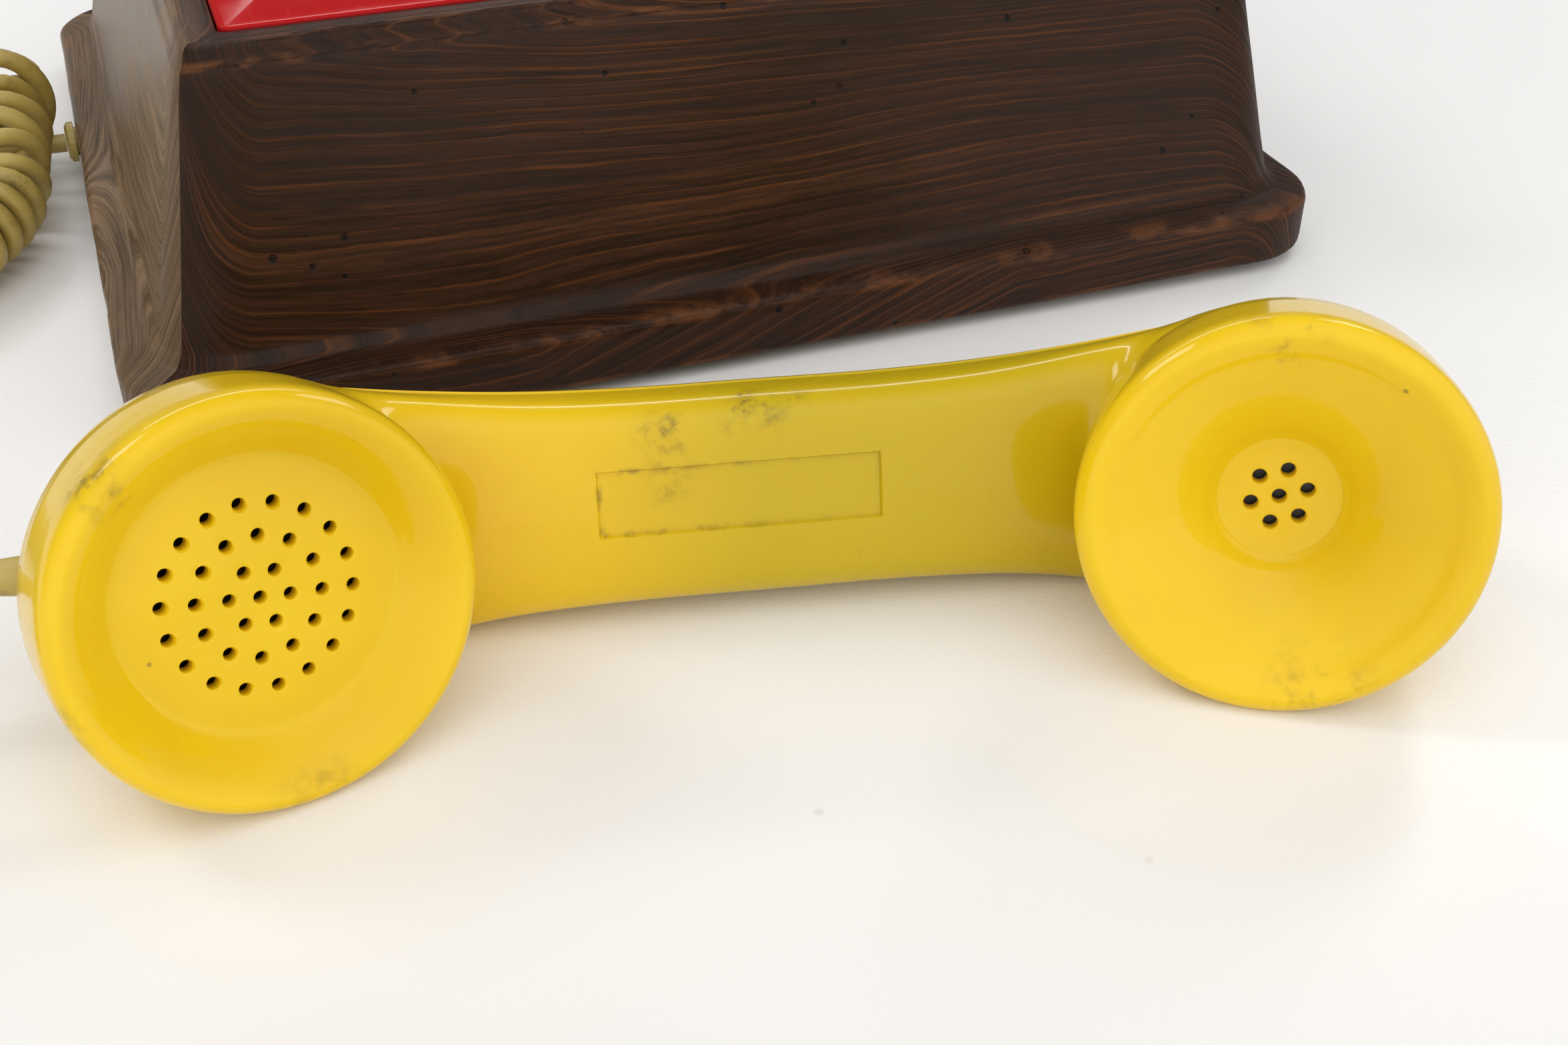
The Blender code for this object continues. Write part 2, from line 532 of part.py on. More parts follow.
hub = cylinder("clapper_hub", 3.4, 23.0, 27.6, None, seg=18, loc=(CLAPPER_X, 0, 0), cutter=True)
arm = block("armature", (32.0, -9.0, 24.0), (34.6, 9.0, 29.0), None, cutter=True)
join(clapper, ball, hub, arm)
cut(clapper, cylinder("clapper_bore", 1.7, 18, 32, None, seg=16, loc=(CLAPPER_X, 0, 0), cutter=True))

# ------------------------------------------------------------------ network and terminals
network = block("network_block", (-92.0, -44.0, PLATE_T + GAP), (-58.0, 20.0, 24.0), BLACK, bevel=1.5)
join(network, *[cylinder("net_post_%d" % k, 2.2, 23.0, 26.4, None, seg=8, loc=(-87.0 + 24.0 * (k % 2), -38.0 + 13.0 * (k // 2), 0),
                         cutter=True) for k in range(10)])
terminal = block("terminal_block", (-52.0, -72.0, PLATE_T + GAP), (-30.0, -40.0, 12.0), BLACK, bevel=0.8)
join(terminal, *[cylinder("term_screw_%d" % k, 2.4, 11.0, 13.4, None, seg=10, loc=(-46.5 + 11.0 * (k % 2), -65.0 + 18.0 * (k // 2), 0),
                          cutter=True) for k in range(4)])

# ------------------------------------------------------------------ hookswitch
bracket = block("hook_bracket", (50.0, 56.0, PLATE_T + GAP), (74.0, 60.0, 49.0), STEEL)
join(bracket, block("bracket_foot", (50.0, 56.0, PLATE_T + GAP), (74.0, 78.0, 3.6), None, cutter=True),
     block("ear_low", (54.0, 58.0, 32.0), (66.0, 75.0, 34.6), None, cutter=True),
     block("ear_high", (54.0, 58.0, 45.4), (66.0, 75.0, 48.0), None, cutter=True))
cut(bracket, cylinder("pivot_cut", 1.8, 28, 52, None, seg=16, loc=(HOOK_X, HOOK_Y, 0), cutter=True))
turned("hook_pivot_pin", [(0, 50.0), (2.8, 49.8), (2.8, 48.3), (1.5, 48.3), (1.5, 30.5), (0, 30.5)], STEEL, steps=16,
       loc=(HOOK_X, HOOK_Y, 0))
# lever: a flat strip through the side slot, ending in a two-pronged fork
z0 = HOOK_Z
FORK = [(HOOK_Y, z0 - 3.0), (98.0, z0 - 3.0), (99.0, z0 - 4.0), (99.0, z0 - 16.0), (101.5, z0 - 18.5), (136.0, z0 - 18.5),
        (138.5, z0 - 17.0), (138.5, z0 - 15.0), (136.0, z0 - 13.5), (108.0, z0 - 13.5), (105.0, z0 - 10.5),
        (105.0, z0 + 10.5), (108.0, z0 + 13.5), (136.0, z0 + 13.5), (138.5, z0 + 15.0), (138.5, z0 + 17.0),
        (136.0, z0 + 18.5), (101.5, z0 + 18.5), (99.0, z0 + 16.0), (99.0, z0 + 4.0), (98.0, z0 + 3.0), (HOOK_Y, z0 + 3.0)]
# drawn in (Y, Z), extruded along X by turning the prism on its side
lever = prism("hook_lever", FORK, -1.6, 1.6, CHROME, rot=(math.pi / 2, 0, math.pi / 2), loc=(HOOK_X, 0, 0))
hub = cylinder("lever_hub", 4.6, z0 - 4.6, z0 + 4.6, None, seg=20, loc=(HOOK_X, HOOK_Y, 0), cutter=True)
join(lever, hub)
cut(lever, cylinder("lever_bore", 1.8, 20, 60, None, seg=16, loc=(HOOK_X, HOOK_Y, 0), cutter=True))
# return spring: a short coil between bracket and lever
coil_pts = [(67.5 + 2.2 * math.cos(2 * math.pi * k / 9), 62.0 + 0.24 * k, z0 + 2.2 * math.sin(2 * math.pi * k / 9))
            for k in range(46)]
tube("hook_spring", coil_pts, 0.7, STEEL, res=1)
hs = block("hook_contacts", (51.0, 60.4, 36.0), (51.6, 78.0, 44.0), BRASS)
join(hs, block("hook_leaf", (53.0, 60.4, 36.0), (53.6, 78.0, 44.0), None, cutter=True),
     block("hook_stack", (49.6, 60.3, 35.0), (54.6, 64.0, 44.6), None, cutter=True))

# ------------------------------------------------------------------ loudness wheel
loud = []
for k in range(48):
    t = 2 * math.pi * k / 48
    r = LOUD_R - (0.5 if k % 2 else 0.0)
    loud.append((r * math.cos(t), r * math.sin(t)))
loud_wheel = prism("loudness_wheel", loud, LOUD_Z - 1.6, LOUD_Z + 1.6, BLACK, loc=(LOUD_X, LOUD_Y, 0))
cut(loud_wheel, cylinder("loud_bore", 1.8, 10, 30, None, seg=16, loc=(LOUD_X, LOUD_Y, 0), cutter=True))
post = turned("loudness_post", [(0, 24.0), (2.3, 23.8), (2.3, 22.4), (1.5, 22.4), (1.5, 18.0), (3.4, 18.0), (3.4, 3.4), (4.8, 3.4),
                                (4.8, PLATE_T + GAP), (0, PLATE_T + GAP)], STEEL, steps=16, loc=(LOUD_X, LOUD_Y, 0))

# ------------------------------------------------------------------ grommets
turned("cord_grommet", [(4.6, 1.8), (4.6, 0.4), (3.3, 0.4), (3.3, -10.5), (2.4, -10.5), (2.4, 2.4), (3.6, 2.4)][::1],
       RUBBER, steps=20, ring=True, loc=CORD_EXIT, rot=(0, -math.pi / 2, 0))
turned("line_grommet", [(8.0, PLATE_T + 1.8), (8.0, PLATE_T + GAP), (5.7, PLATE_T + GAP), (5.7, 0.1), (3.4, 0.1), (3.4, PLATE_T + 1.8)],
       RUBBER, steps=20, ring=True, loc=(*LINE_POS, 0))

# ------------------------------------------------------------------ handset
# Its own axes: x from mouthpiece to earpiece, y across the handle, z the way
# the caps face.  An empty lays it on its side on the table.
hand = bpy.data.objects.new("handset_frame", None)
scene.collection.objects.link(hand)
yaw, lean = math.radians(HAND_YAW), math.radians(HAND_LEAN)
ax = Vector((math.cos(yaw), math.sin(yaw), 0))
az = Vector((math.sin(yaw) * math.cos(lean), -math.cos(yaw) * math.cos(lean), math.sin(lean)))
ay = az.cross(ax)
HAND_H = FLOOR + 0.4 + CAP_R * math.sqrt(math.cos(lean) ** 2 + (math.sin(lean) * math.sin(math.radians(TX_TILT))) ** 2)
hand_m = Matrix((ax, ay, az)).transposed().to_4x4()
hand_m.translation = Vector(mm(*HAND_MID, HAND_H))
hand.matrix_world = hand_m


def on_hand(ob):
    ob.parent = hand
    return ob


half = HAND_SPAN / 2


def section(cx, cz, dirx, dirz, w, t, power, n=20):
    """A superellipse ring: w across the handle, t along (dirx, dirz)."""
    pts = []
    for k in range(n):
        a = 2 * math.pi * k / n
        c, s = math.cos(a), math.sin(a)
        u = math.copysign(abs(c) ** (2 / power), c) * w / 2
        v = math.copysign(abs(s) ** (2 / power), s) * t / 2
        pts.append((cx + dirx * v, u, cz + dirz * v))
    return pts


def cap_frame(sign, tilt):
    a = math.radians(tilt)
    return Vector((sign * half, 0, 0)), Vector((-sign * math.sin(a), 0, math.cos(a))), Vector((math.cos(a), 0, sign * math.sin(a)))


tc, tn, te = cap_frame(-1, TX_TILT)
rc, rn, re = cap_frame(1, RX_TILT)
CUP = ((11.0, 26.6), (17.6, 26.6), (17.9, 30.6))      # depth behind the cap's front, radius
# the neck fans out from the cap's inner edge to the handle: (x, z) of the inner
# side and of the back side, the width across, and the squareness
NECK = [((-52.8, -30.0), (-109.5, -16.0), 58.8, 2.0), ((-52.4, -30.5), (-104.5, -31.0), 54.0, 2.1),
        ((-51.0, -30.8), (-93.5, -44.0), 47.5, 2.3), ((-48.0, -30.9), (-78.0, -51.4), 42.0, 2.6),
        ((-42.5, -30.9), (-60.0, -53.6), 38.0, 2.9), ((-34.0, -30.9), (-39.5, -53.2), 35.2, 3.2),
        ((-20.0, -30.9), (-20.0, -52.9), HANDLE_W, 3.3)]


def cup_ring(centre, normal, inward, depth, rad):
    c = centre - normal * depth
    return [tuple(c + inward * (rad * math.sin(2 * math.pi * k / 20)) + Vector((0, rad * math.cos(2 * math.pi * k / 20), 0)))
            for k in range(20)]


def neck_ring(inner_pt, back_pt, w, power, sign):
    (ix, iz), (bx, bz) = inner_pt, back_pt
    t = math.hypot(ix - bx, iz - bz)
    return section(-sign * (ix + bx) / 2, (iz + bz) / 2, -sign * (ix - bx) / t, (iz - bz) / t, w, t, power)


rings = [cup_ring(tc, tn, te, d, r) for d, r in CUP]
rings += [neck_ring(*n, -1) for n in NECK]
rings.append(neck_ring((0.0, -30.9), (0.0, -52.9), HANDLE_W, 3.3, -1))
rings += [neck_ring(*n, 1) for n in reversed(NECK)]
rings += [cup_ring(rc, rn, -re, d, r) for d, r in reversed(CUP)]
shell = on_hand(loft("handset_shell", rings, YELLOW))


def cap_loc(ob, sign, tilt):
    ob.location = mm(sign * half, 0, 0)
    ob.rotation_euler = (0, -sign * math.radians(tilt), 0)
    ob.parent = hand
    return ob


hc = [cap_loc(cylinder("tx_cavity", 24.2, -24.0, 2.0, None, seg=28, cutter=True), -1, TX_TILT),
      cap_loc(cylinder("rx_cavity", 24.2, -24.0, 2.0, None, seg=28, cutter=True), 1, RX_TILT)]
wire_way = cylinder("wire_way", 5.0, -74.0, 74.0, None, seg=12, loc=(0, 0, -42.0), rot=(0, math.pi / 2, 0), cutter=True)
wire_way.parent = hand
hc.append(wire_way)
for sign in (-1, 1):
    way = cylinder("cup_way_%d" % sign, 4.0, -16.0, 16.0, None, seg=12, cutter=True)
    way.location = mm(sign * 68.0, 0, -32.5)
    way.rotation_euler = (0, sign * math.radians(49.0), 0)
    way.parent = hand
    hc.append(way)
BOOT_Z = -25.0
boot_hole = cylinder("boot_hole", 3.4, -116.0, -72.0, None, seg=14, loc=(0, 0, BOOT_Z), rot=(0, math.pi / 2, 0), cutter=True)
boot_hole.parent = hand
hc.append(boot_hole)
cut(shell, *hc)

# caps, turned, front plane at z = 0
TX_CAP = [(0, -6.4), (9.0, -6.6), (16.0, -7.3), (19.6, -8.0), (21.4, -7.0), (23.4, -3.4), (26.0, -0.6), (28.2, 0.0), (30.4, -0.9),
          (CAP_R, -3.4), (31.2, -10.0), (30.8, -17.4), (27.2, -17.4), (27.2, -9.0), (20.0, -10.6), (16.0, -9.8), (9.0, -9.1), (0, -8.9)]
RX_CAP = [(0, -14.0), (7.0, -14.0), (9.0, -13.4), (11.6, -10.6), (16.0, -6.8), (21.6, -3.6), (25.6, -1.0), (28.0, 0.0), (30.2, -0.8),
          (CAP_R, -3.2), (31.2, -10.0), (30.8, -17.4), (27.2, -17.4), (27.2, -7.0), (22.0, -6.6), (16.4, -9.8), (12.0, -13.6), (9.0, -16.6),
          (0, -16.6)]
tx_cap = cap_loc(turned("transmitter_cap", TX_CAP, YELLOW, steps=30), -1, TX_TILT)
rx_cap = cap_loc(turned("receiver_cap", RX_CAP, YELLOW, steps=30), 1, RX_TILT)


def hole_ring(r, count, phase):
    return [(r * math.cos(phase + 2 * math.pi * k / count), r * math.sin(phase + 2 * math.pi * k / count)) for k in range(count)]


RING = 4.43
tx_holes = [(0.0, 0.0)] + hole_ring(RING, 6, -0.09) + hole_ring(RING * 2.078, 12, -0.09) + hole_ring(RING * 3.158, 18, -0.09)
rx_holes = [(0.0, 0.0)] + hole_ring(RING, 6, 0.24)


def drills(name, spots, r, depth):
    """Drills for a group of holes, as one cutter of separate pins."""
    bm = bmesh.new()
    for x, y in spots:
        bmesh.ops.create_cone(bm, cap_ends=True, segments=6, radius1=r * S, radius2=r * S, depth=depth * S,
                              matrix=Matrix.Translation(mm(x, y, -12.0)))
    return mesh_object(name, bm, None, cutter=True, smooth=False)


cut(tx_cap, cap_loc(drills("tx_drill", tx_holes, 0.95, 20.0), -1, TX_TILT))
cut(rx_cap, cap_loc(drills("rx_drill", rx_holes, 1.15, 20.0), 1, RX_TILT))

# what the cups hold
cap_loc(turned("transmitter_capsule", [(0, -12.0), (19.0, -12.0), (22.0, -13.4), (22.0, -18.0), (16.0, -19.2), (0, -19.2)],
               STEEL, steps=24), -1, TX_TILT)
cap_loc(turned("contact_cup", [(23.6, -19.6), (23.6, -22.6), (10.0, -22.6), (10.0, -19.6)], BLACK, steps=20, ring=True), -1, TX_TILT)
cap_loc(turned("receiver_capsule", [(0, -17.2), (18.0, -17.2), (22.6, -18.2), (22.6, -21.6), (12.0, -22.8), (0, -22.8)],
               STEEL, steps=24), 1, RX_TILT)

# the cord's boot in the end of the mouthpiece cup
boot = turned("handset_boot", [(2.6, 12.0), (3.1, 6.0), (3.1, -2.0), (1.0, -2.0), (1.0, 12.0)], CORD, steps=14, ring=True)
BOOT_END = Vector((-120.0, 0.0, BOOT_Z))
boot.parent = hand
boot.location = mm(BOOT_END.x + 12.0, 0, BOOT_Z)
boot.rotation_euler = (0, -math.pi / 2, 0)

# ------------------------------------------------------------------ handset cord
boot_w = Matrix((ax, ay, az)).transposed() @ BOOT_END + Vector((*HAND_MID, HAND_H))
floor_c = FLOOR + COIL_D / 2 + 0.2
tail_a = smooth_path([(CORD_EXIT[0] - 2.6, CORD_EXIT[1], CORD_EXIT[2]), (-129.5, 31.0, 6.0), (-131.6, 30.8, 6.1)], 4)
tube("cord_case_tail", tail_a, CORD_D, CORD)
coil_route = [(-132.2, 30.8, floor_c), (-142.0, 30.0, floor_c), (-156.0, 20.0, floor_c), (-170.0, -6.0, floor_c),
              (-186.0, -44.0, floor_c), (-198.0, -88.0, floor_c), (-202.0, -132.0, floor_c), (-198.0, -166.0, floor_c)]
tube("cord_coil", smooth_path(coil_route, 15), COIL_D, CORD, res=3)
end = coil_route[-1]
tail_b = smooth_path([tuple(boot_w - ax * 0.35), tuple(boot_w - ax * 8.0), tuple(boot_w - ax * 26.0 + Vector((0, 0, -6.0))),
                      (end[0] + 3.5, end[1] - 16.0, end[2] + 3.0), (end[0], end[1] - 0.6, end[2])], 12)
tube("cord_handset_tail", tail_b, CORD_D, CORD)
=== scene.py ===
# Looks for the rotary wall telephone: camera, cord, surfaces and light around
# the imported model.  Lengths are written in millimetres and multiplied by S.

import math

import bmesh
import bpy
from mathutils import Euler, Matrix, Vector, noise


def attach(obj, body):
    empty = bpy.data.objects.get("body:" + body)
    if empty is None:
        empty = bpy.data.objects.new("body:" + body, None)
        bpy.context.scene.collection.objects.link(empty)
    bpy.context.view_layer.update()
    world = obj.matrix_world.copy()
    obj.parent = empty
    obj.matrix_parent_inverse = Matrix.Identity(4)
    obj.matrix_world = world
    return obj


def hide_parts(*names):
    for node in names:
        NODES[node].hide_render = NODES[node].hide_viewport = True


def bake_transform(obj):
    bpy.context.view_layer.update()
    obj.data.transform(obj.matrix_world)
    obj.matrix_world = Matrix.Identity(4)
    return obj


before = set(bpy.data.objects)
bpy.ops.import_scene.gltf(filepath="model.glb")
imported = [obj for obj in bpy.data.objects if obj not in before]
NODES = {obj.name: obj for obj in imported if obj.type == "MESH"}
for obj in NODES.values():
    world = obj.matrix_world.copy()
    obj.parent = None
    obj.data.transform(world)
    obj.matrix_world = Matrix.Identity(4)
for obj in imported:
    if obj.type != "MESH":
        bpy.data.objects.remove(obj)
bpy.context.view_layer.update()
S = 0.001
scene = bpy.context.scene

# ------------------------------------------------------------------ shared sizes
CASE_LEN, CASE_WID, SIDE_TOP, CASE_TOP = 252.0, 212.0, 64.5, 68.5
PLINTH_TOP, RIM_INSET, PANEL_INSET, PLINTH_R = 11.6, 20.0, 29.2, 18.0
PANEL_T, PANEL_TOP, PLATE_T = 3.0, 68.3, 1.6
LIFT = PANEL_TOP - 60.0
GAP, FLOOR = 0.3, -2.5
DIAL_X, HOLE_PITCH_R, FIRST_DEG, STOP_DEG = -14.0, 28.8, 60.0, 120.0
HOOK_X, HOOK_Y, HOOK_Z = 60.0, 70.0, 40.0
LOUD_X, LOUD_Y, LOUD_Z, LOUD_R = 101.0, -30.0, 20.0, 15.4
CAP_R, HALF, TX_TILT, RX_TILT = 31.3, 73.75, 24.0, 18.5
HANDLE_W = 34.0
CORD_D = 4.2
FLOOR_C = FLOOR + 8.9 + 0.2

yaw, lean = math.radians(-11.8), math.radians(17.6)
AX = Vector((math.cos(yaw), math.sin(yaw), 0))
AZ = Vector((math.sin(yaw) * math.cos(lean), -math.cos(yaw) * math.cos(lean), math.sin(lean)))
AY = AZ.cross(AX)
HAND_H = FLOOR + 0.4 + CAP_R * math.sqrt(math.cos(lean) ** 2 + (math.sin(lean) * math.sin(math.radians(TX_TILT))) ** 2)
HAND_O = Vector((-37.3, -209.2, HAND_H))
HAND = Matrix((AX, AY, AZ)).transposed().to_4x4()
HAND.translation = HAND_O * S


# ------------------------------------------------------------------ camera
def make_camera():
    y, p, r = math.radians(20.4), math.radians(35.3), math.radians(0.3)
    fwd = Vector((math.sin(y) * math.cos(p), math.cos(y) * math.cos(p), -math.sin(p)))
    right = Vector((math.cos(y), -math.sin(y), 0))
    up = right.cross(fwd)
    r2 = right * math.cos(r) + up * math.sin(r)
    u2 = up * math.cos(r) - right * math.sin(r)
    cam = bpy.data.cameras.new("camera")
    cam.sensor_fit = 'HORIZONTAL'
    cam.sensor_width = 36.0
    cam.lens = 44.388
    cam.clip_start, cam.clip_end = 0.01, 30.0
    ob = bpy.data.objects.new("camera", cam)
    scene.collection.objects.link(ob)
    m = Matrix((r2, u2, -fwd)).transposed().to_4x4()
    m.translation = Vector((-117.2, -418.9, 194.5)) * S
    ob.matrix_world = m
    scene.camera = ob


make_camera()


# ------------------------------------------------------------------ mesh helpers
def new_object(name, bm, sharp=40.0):
    me = bpy.data.meshes.new(name)
    bm.to_mesh(me)
    bm.free()
    ob = bpy.data.objects.new(name, me)
    scene.collection.objects.link(ob)
    me.shade_smooth()
    if sharp:
        me.set_sharp_from_angle(angle=math.radians(sharp))
    return ob


def skin(name, rings, closed_path=False, sharp=40.0, cap=True):
    """Quads over a list of rings of millimetre points."""
    bm = bmesh.new()
    vs = [[bm.verts.new((p[0] * S, p[1] * S, p[2] * S)) for p in ring] for ring in rings]
    n, count = len(rings[0]), len(rings)
    for i in range(count if closed_path else count - 1):
        a, b = vs[i], vs[(i + 1) % count]
        for j in range(n):
            k = (j + 1) % n
            bm.faces.new((a[j], a[k], b[k], b[j]))
    if cap and not closed_path:
        bm.faces.new(list(reversed(vs[0])))
        bm.faces.new(vs[-1])
    bmesh.ops.recalc_face_normals(bm, faces=bm.faces)
    return new_object(name, bm, sharp)


def revolve(name, profile, steps, matrix=None, ring=False, sharp=40.0):
    """Spin (radius, z) points about Z; ends on the axis unless it is a ring."""
    bm = bmesh.new()
    cols = []
    for r, z in profile:
        if r < 1e-6:
            cols.append([bm.verts.new((0, 0, z * S))])
        else:
            cols.append([bm.verts.new((r * S * math.cos(2 * math.pi * k / steps), r * S * math.sin(2 * math.pi * k / steps), z * S))
                         for k in range(steps)])
    pairs = list(zip(cols, cols[1:]))
    if ring:
        pairs.append((cols[-1], cols[0]))
    for a, b in pairs:
        for k in range(steps):
            m = (k + 1) % steps
            if len(a) == 1 and len(b) == 1:
                continue
            if len(a) == 1:
                bm.faces.new((a[0], b[k], b[m]))
            elif len(b) == 1:
                bm.faces.new((a[k], b[0], a[m]))
            else:
                bm.faces.new((a[k], b[k], b[m], a[m]))
    bmesh.ops.recalc_face_normals(bm, faces=bm.faces)
    if matrix is not None:
        bmesh.ops.transform(bm, matrix=matrix, verts=bm.verts)
    return new_object(name, bm, sharp)


def curve_through(pts, per=6, ends=None):
    """Catmull-Rom samples through points of any dimension."""
    P = [tuple(p) for p in pts]
    first = ends[0] if ends else tuple(2 * a - b for a, b in zip(P[0], P[1]))
    last = ends[1] if ends else tuple(2 * a - b for a, b in zip(P[-1], P[-2]))
    P = [first] + P + [last]
    out = []
    for i in range(1, len(P) - 2):
        for k in range(per):
            t = k / per
            out.append(tuple(0.5 * (2 * b + (c - a) * t + (2 * a - 5 * b + 4 * c - d) * t * t + (3 * b - 3 * c + d - a) * t ** 3)
                             for a, b, c, d in zip(P[i - 1], P[i], P[i + 1], P[i + 2])))
    out.append(P[-2])
    return out


def bake(ob):
    """Apply the modifiers."""
    dg = bpy.context.evaluated_depsgraph_get()
    me = bpy.data.meshes.new_from_object(ob.evaluated_get(dg))
    ob.modifiers.clear()
    ob.data = me
    return ob


def carve(ob, *tools, sharp=40.0, op='DIFFERENCE'):
    for t in tools:
        m = ob.modifiers.new("cut", 'BOOLEAN')
        m.operation = op
        m.solver = 'EXACT'
        m.object = t
    bpy.context.view_layer.update()
    bake(ob)
    for t in tools:
        bpy.data.objects.remove(t, do_unlink=True)
    ob.data.shade_smooth()
    if sharp:
        ob.data.set_sharp_from_angle(angle=math.radians(sharp))
    return ob


def join_all(name, obs):
    """One object from several, all with their meshes in place."""
    bm = bmesh.new()
    for o in obs:
        me = o.data.copy()
        me.transform(o.matrix_world)
        bm.from_mesh(me)
        bpy.data.meshes.remove(me)
        bpy.data.objects.remove(o, do_unlink=True)
    me = bpy.data.meshes.new(name)
    bm.to_mesh(me)
    bm.free()
    ob = bpy.data.objects.new(name, me)
    scene.collection.objects.link(ob)
    return ob


def box_mesh(name, lo, hi, matrix=None, bevel=0.0):
    bm = bmesh.new()
    size = [(hi[i] - lo[i]) * S for i in range(3)]
    mid = [(hi[i] + lo[i]) / 2 * S for i in range(3)]
    bmesh.ops.create_cube(bm, size=1.0, matrix=Matrix.Translation(mid) @ Matrix.Diagonal((*size, 1.0)))
    if bevel:
        bmesh.ops.bevel(bm, geom=list(bm.edges), offset=bevel * S, segments=3, profile=0.5, affect='EDGES')
    if matrix is not None:
        bmesh.ops.transform(bm, matrix=matrix, verts=bm.verts)
    return new_object(name, bm, 40.0)


def rounded_rect(hx, hy, r, z, per=4, step=None):
    """Anticlockwise outline; step adds points along the straight sides."""
    pts = []
    corners = ((hx - r, hy - r, 0), (-hx + r, hy - r, 90), (-hx + r, -hy + r, 180), (hx - r, -hy + r, 270))
    for i, (cx, cy, a0) in enumerate(corners):
        arc = [(cx + r * math.cos(math.radians(a0 + 90.0 * k / per)), cy + r * math.sin(math.radians(a0 + 90.0 * k / per)), z)
               for k in range(per + 1)]
        pts += arc
        if step:
            nx, ny, na = corners[(i + 1) % 4]
            q = (nx + r * math.cos(math.radians(na)), ny + r * math.sin(math.radians(na)), z)
            p = arc[-1]
            for k in range(1, step):
                f = k / step
                pts.append((p[0] + (q[0] - p[0]) * f, p[1] + (q[1] - p[1]) * f, z))
    return pts


# ------------------------------------------------------------------ shader helpers
class Mat:
    """A Principled material with short names for the nodes round it."""

    def __init__(self, name, rough=0.4, metal=0.0, **values):
        self.m = bpy.data.materials.new(name)
        self.m.use_nodes = True
        self.t = self.m.node_tree
        self.t.nodes.clear()
        self.out = self.t.nodes.new('ShaderNodeOutputMaterial')
        self.b = self.t.nodes.new('ShaderNodeBsdfPrincipled')
        self.t.links.new(self.b.outputs[0], self.out.inputs['Surface'])
        self.b.inputs['Roughness'].default_value = rough
        self.b.inputs['Metallic'].default_value = metal
        for k, v in values.items():
            self.b.inputs[k.replace('_', ' ')].default_value = v
        self.pos = self.t.nodes.new('ShaderNodeTexCoord').outputs['Object']

    def put(self, sock, value):
        if isinstance(value, bpy.types.NodeSocket):
            self.t.links.new(value, sock)
        elif isinstance(value, (tuple, list)) and len(value) == 3 and sock.type == 'RGBA':
            sock.default_value = (*value, 1.0)
        else:
            sock.default_value = value

    def set(self, name, value):
        self.put(self.b.inputs[name], value)

    def math(self, op, a, b=0.0, c=0.0, clamp=False):
        n = self.t.nodes.new('ShaderNodeMath')
        n.operation = op
        n.use_clamp = clamp
        for s, v in zip(n.inputs, (a, b, c)):
            self.put(s, v)
        return n.outputs[0]

    def vec(self, op, a, b=(0, 0, 0)):
        n = self.t.nodes.new('ShaderNodeVectorMath')
        n.operation = op
        self.put(n.inputs[0], a)
        if op == 'SCALE':
            self.put(n.inputs['Scale'], b)
        else:
            self.put(n.inputs[1], b)
        return n.outputs['Value'] if op in ('DISTANCE', 'LENGTH', 'DOT_PRODUCT') else n.outputs['Vector']

    def xyz(self, v):
        n = self.t.nodes.new('ShaderNodeSeparateXYZ')
        self.put(n.inputs[0], v)
        return n.outputs[0], n.outputs[1], n.outputs[2]

    def combine(self, x, y, z):
        n = self.t.nodes.new('ShaderNodeCombineXYZ')
        for s, v in zip(n.inputs, (x, y, z)):
            self.put(s, v)
        return n.outputs[0]

    def local(self, v, loc, rot):
        n = self.t.nodes.new('ShaderNodeMapping')
        n.vector_type = 'TEXTURE'
        self.put(n.inputs['Vector'], v)
        n.inputs['Location'].default_value = loc
        n.inputs['Rotation'].default_value = rot
        return n.outputs[0]

    def noise(self, v, scale, detail=3.0, rough=0.5, distortion=0.0):
        n = self.t.nodes.new('ShaderNodeTexNoise')
        self.put(n.inputs['Vector'], v)
        n.inputs['Scale'].default_value = scale
        n.inputs['Detail'].default_value = detail
        n.inputs['Roughness'].default_value = rough
        n.inputs['Distortion'].default_value = distortion
        return n.outputs[0]

    def cells(self, v, scale, randomness=1.0):
        n = self.t.nodes.new('ShaderNodeTexVoronoi')
        self.put(n.inputs['Vector'], v)
        n.inputs['Scale'].default_value = scale
        n.inputs['Randomness'].default_value = randomness
        return n.outputs['Distance'], n.outputs['Color']

    def span(self, v, a, b, lo=0.0, hi=1.0, smooth=True):
        """v from a..b mapped onto lo..hi and clamped."""
        n = self.t.nodes.new('ShaderNodeMapRange')
        n.interpolation_type = 'SMOOTHSTEP' if smooth else 'LINEAR'
        for s, x in zip(n.inputs, (v, a, b, lo, hi)):
            self.put(s, x)
        return n.outputs[0]

    def ramp(self, f, *stops):
        n = self.t.nodes.new('ShaderNodeValToRGB')
        self.put(n.inputs[0], f)
        e = n.color_ramp.elements
        while len(e) < len(stops):
            e.new(0.5)
        for el, (p, col) in zip(e, stops):
            el.position = p
            el.color = (*col, 1.0)
        return n.outputs[0]

    def mix(self, f, a, b, kind='MIX'):
        n = self.t.nodes.new('ShaderNodeMix')
        n.data_type = 'RGBA'
        n.blend_type = kind
        self.put(n.inputs[0], f)
        self.put(n.inputs[6], a)
        self.put(n.inputs[7], b)
        return n.outputs[2]

    def bump(self, height, strength, distance, normal=None):
        n = self.t.nodes.new('ShaderNodeBump')
        n.inputs['Strength'].default_value = strength
        n.inputs['Distance'].default_value = distance
        self.put(n.inputs['Height'], height)
        if normal is not None:
            self.put(n.inputs['Normal'], normal)
        return n.outputs[0]

    def spot(self, v, centre, radius, soft=0.6):
        """1 inside a ball, 0 outside."""
        d = self.vec('DISTANCE', v, tuple(c * S for c in centre))
        return self.span(d, radius * S * (1 - soft), radius * S, 1.0, 0.0)

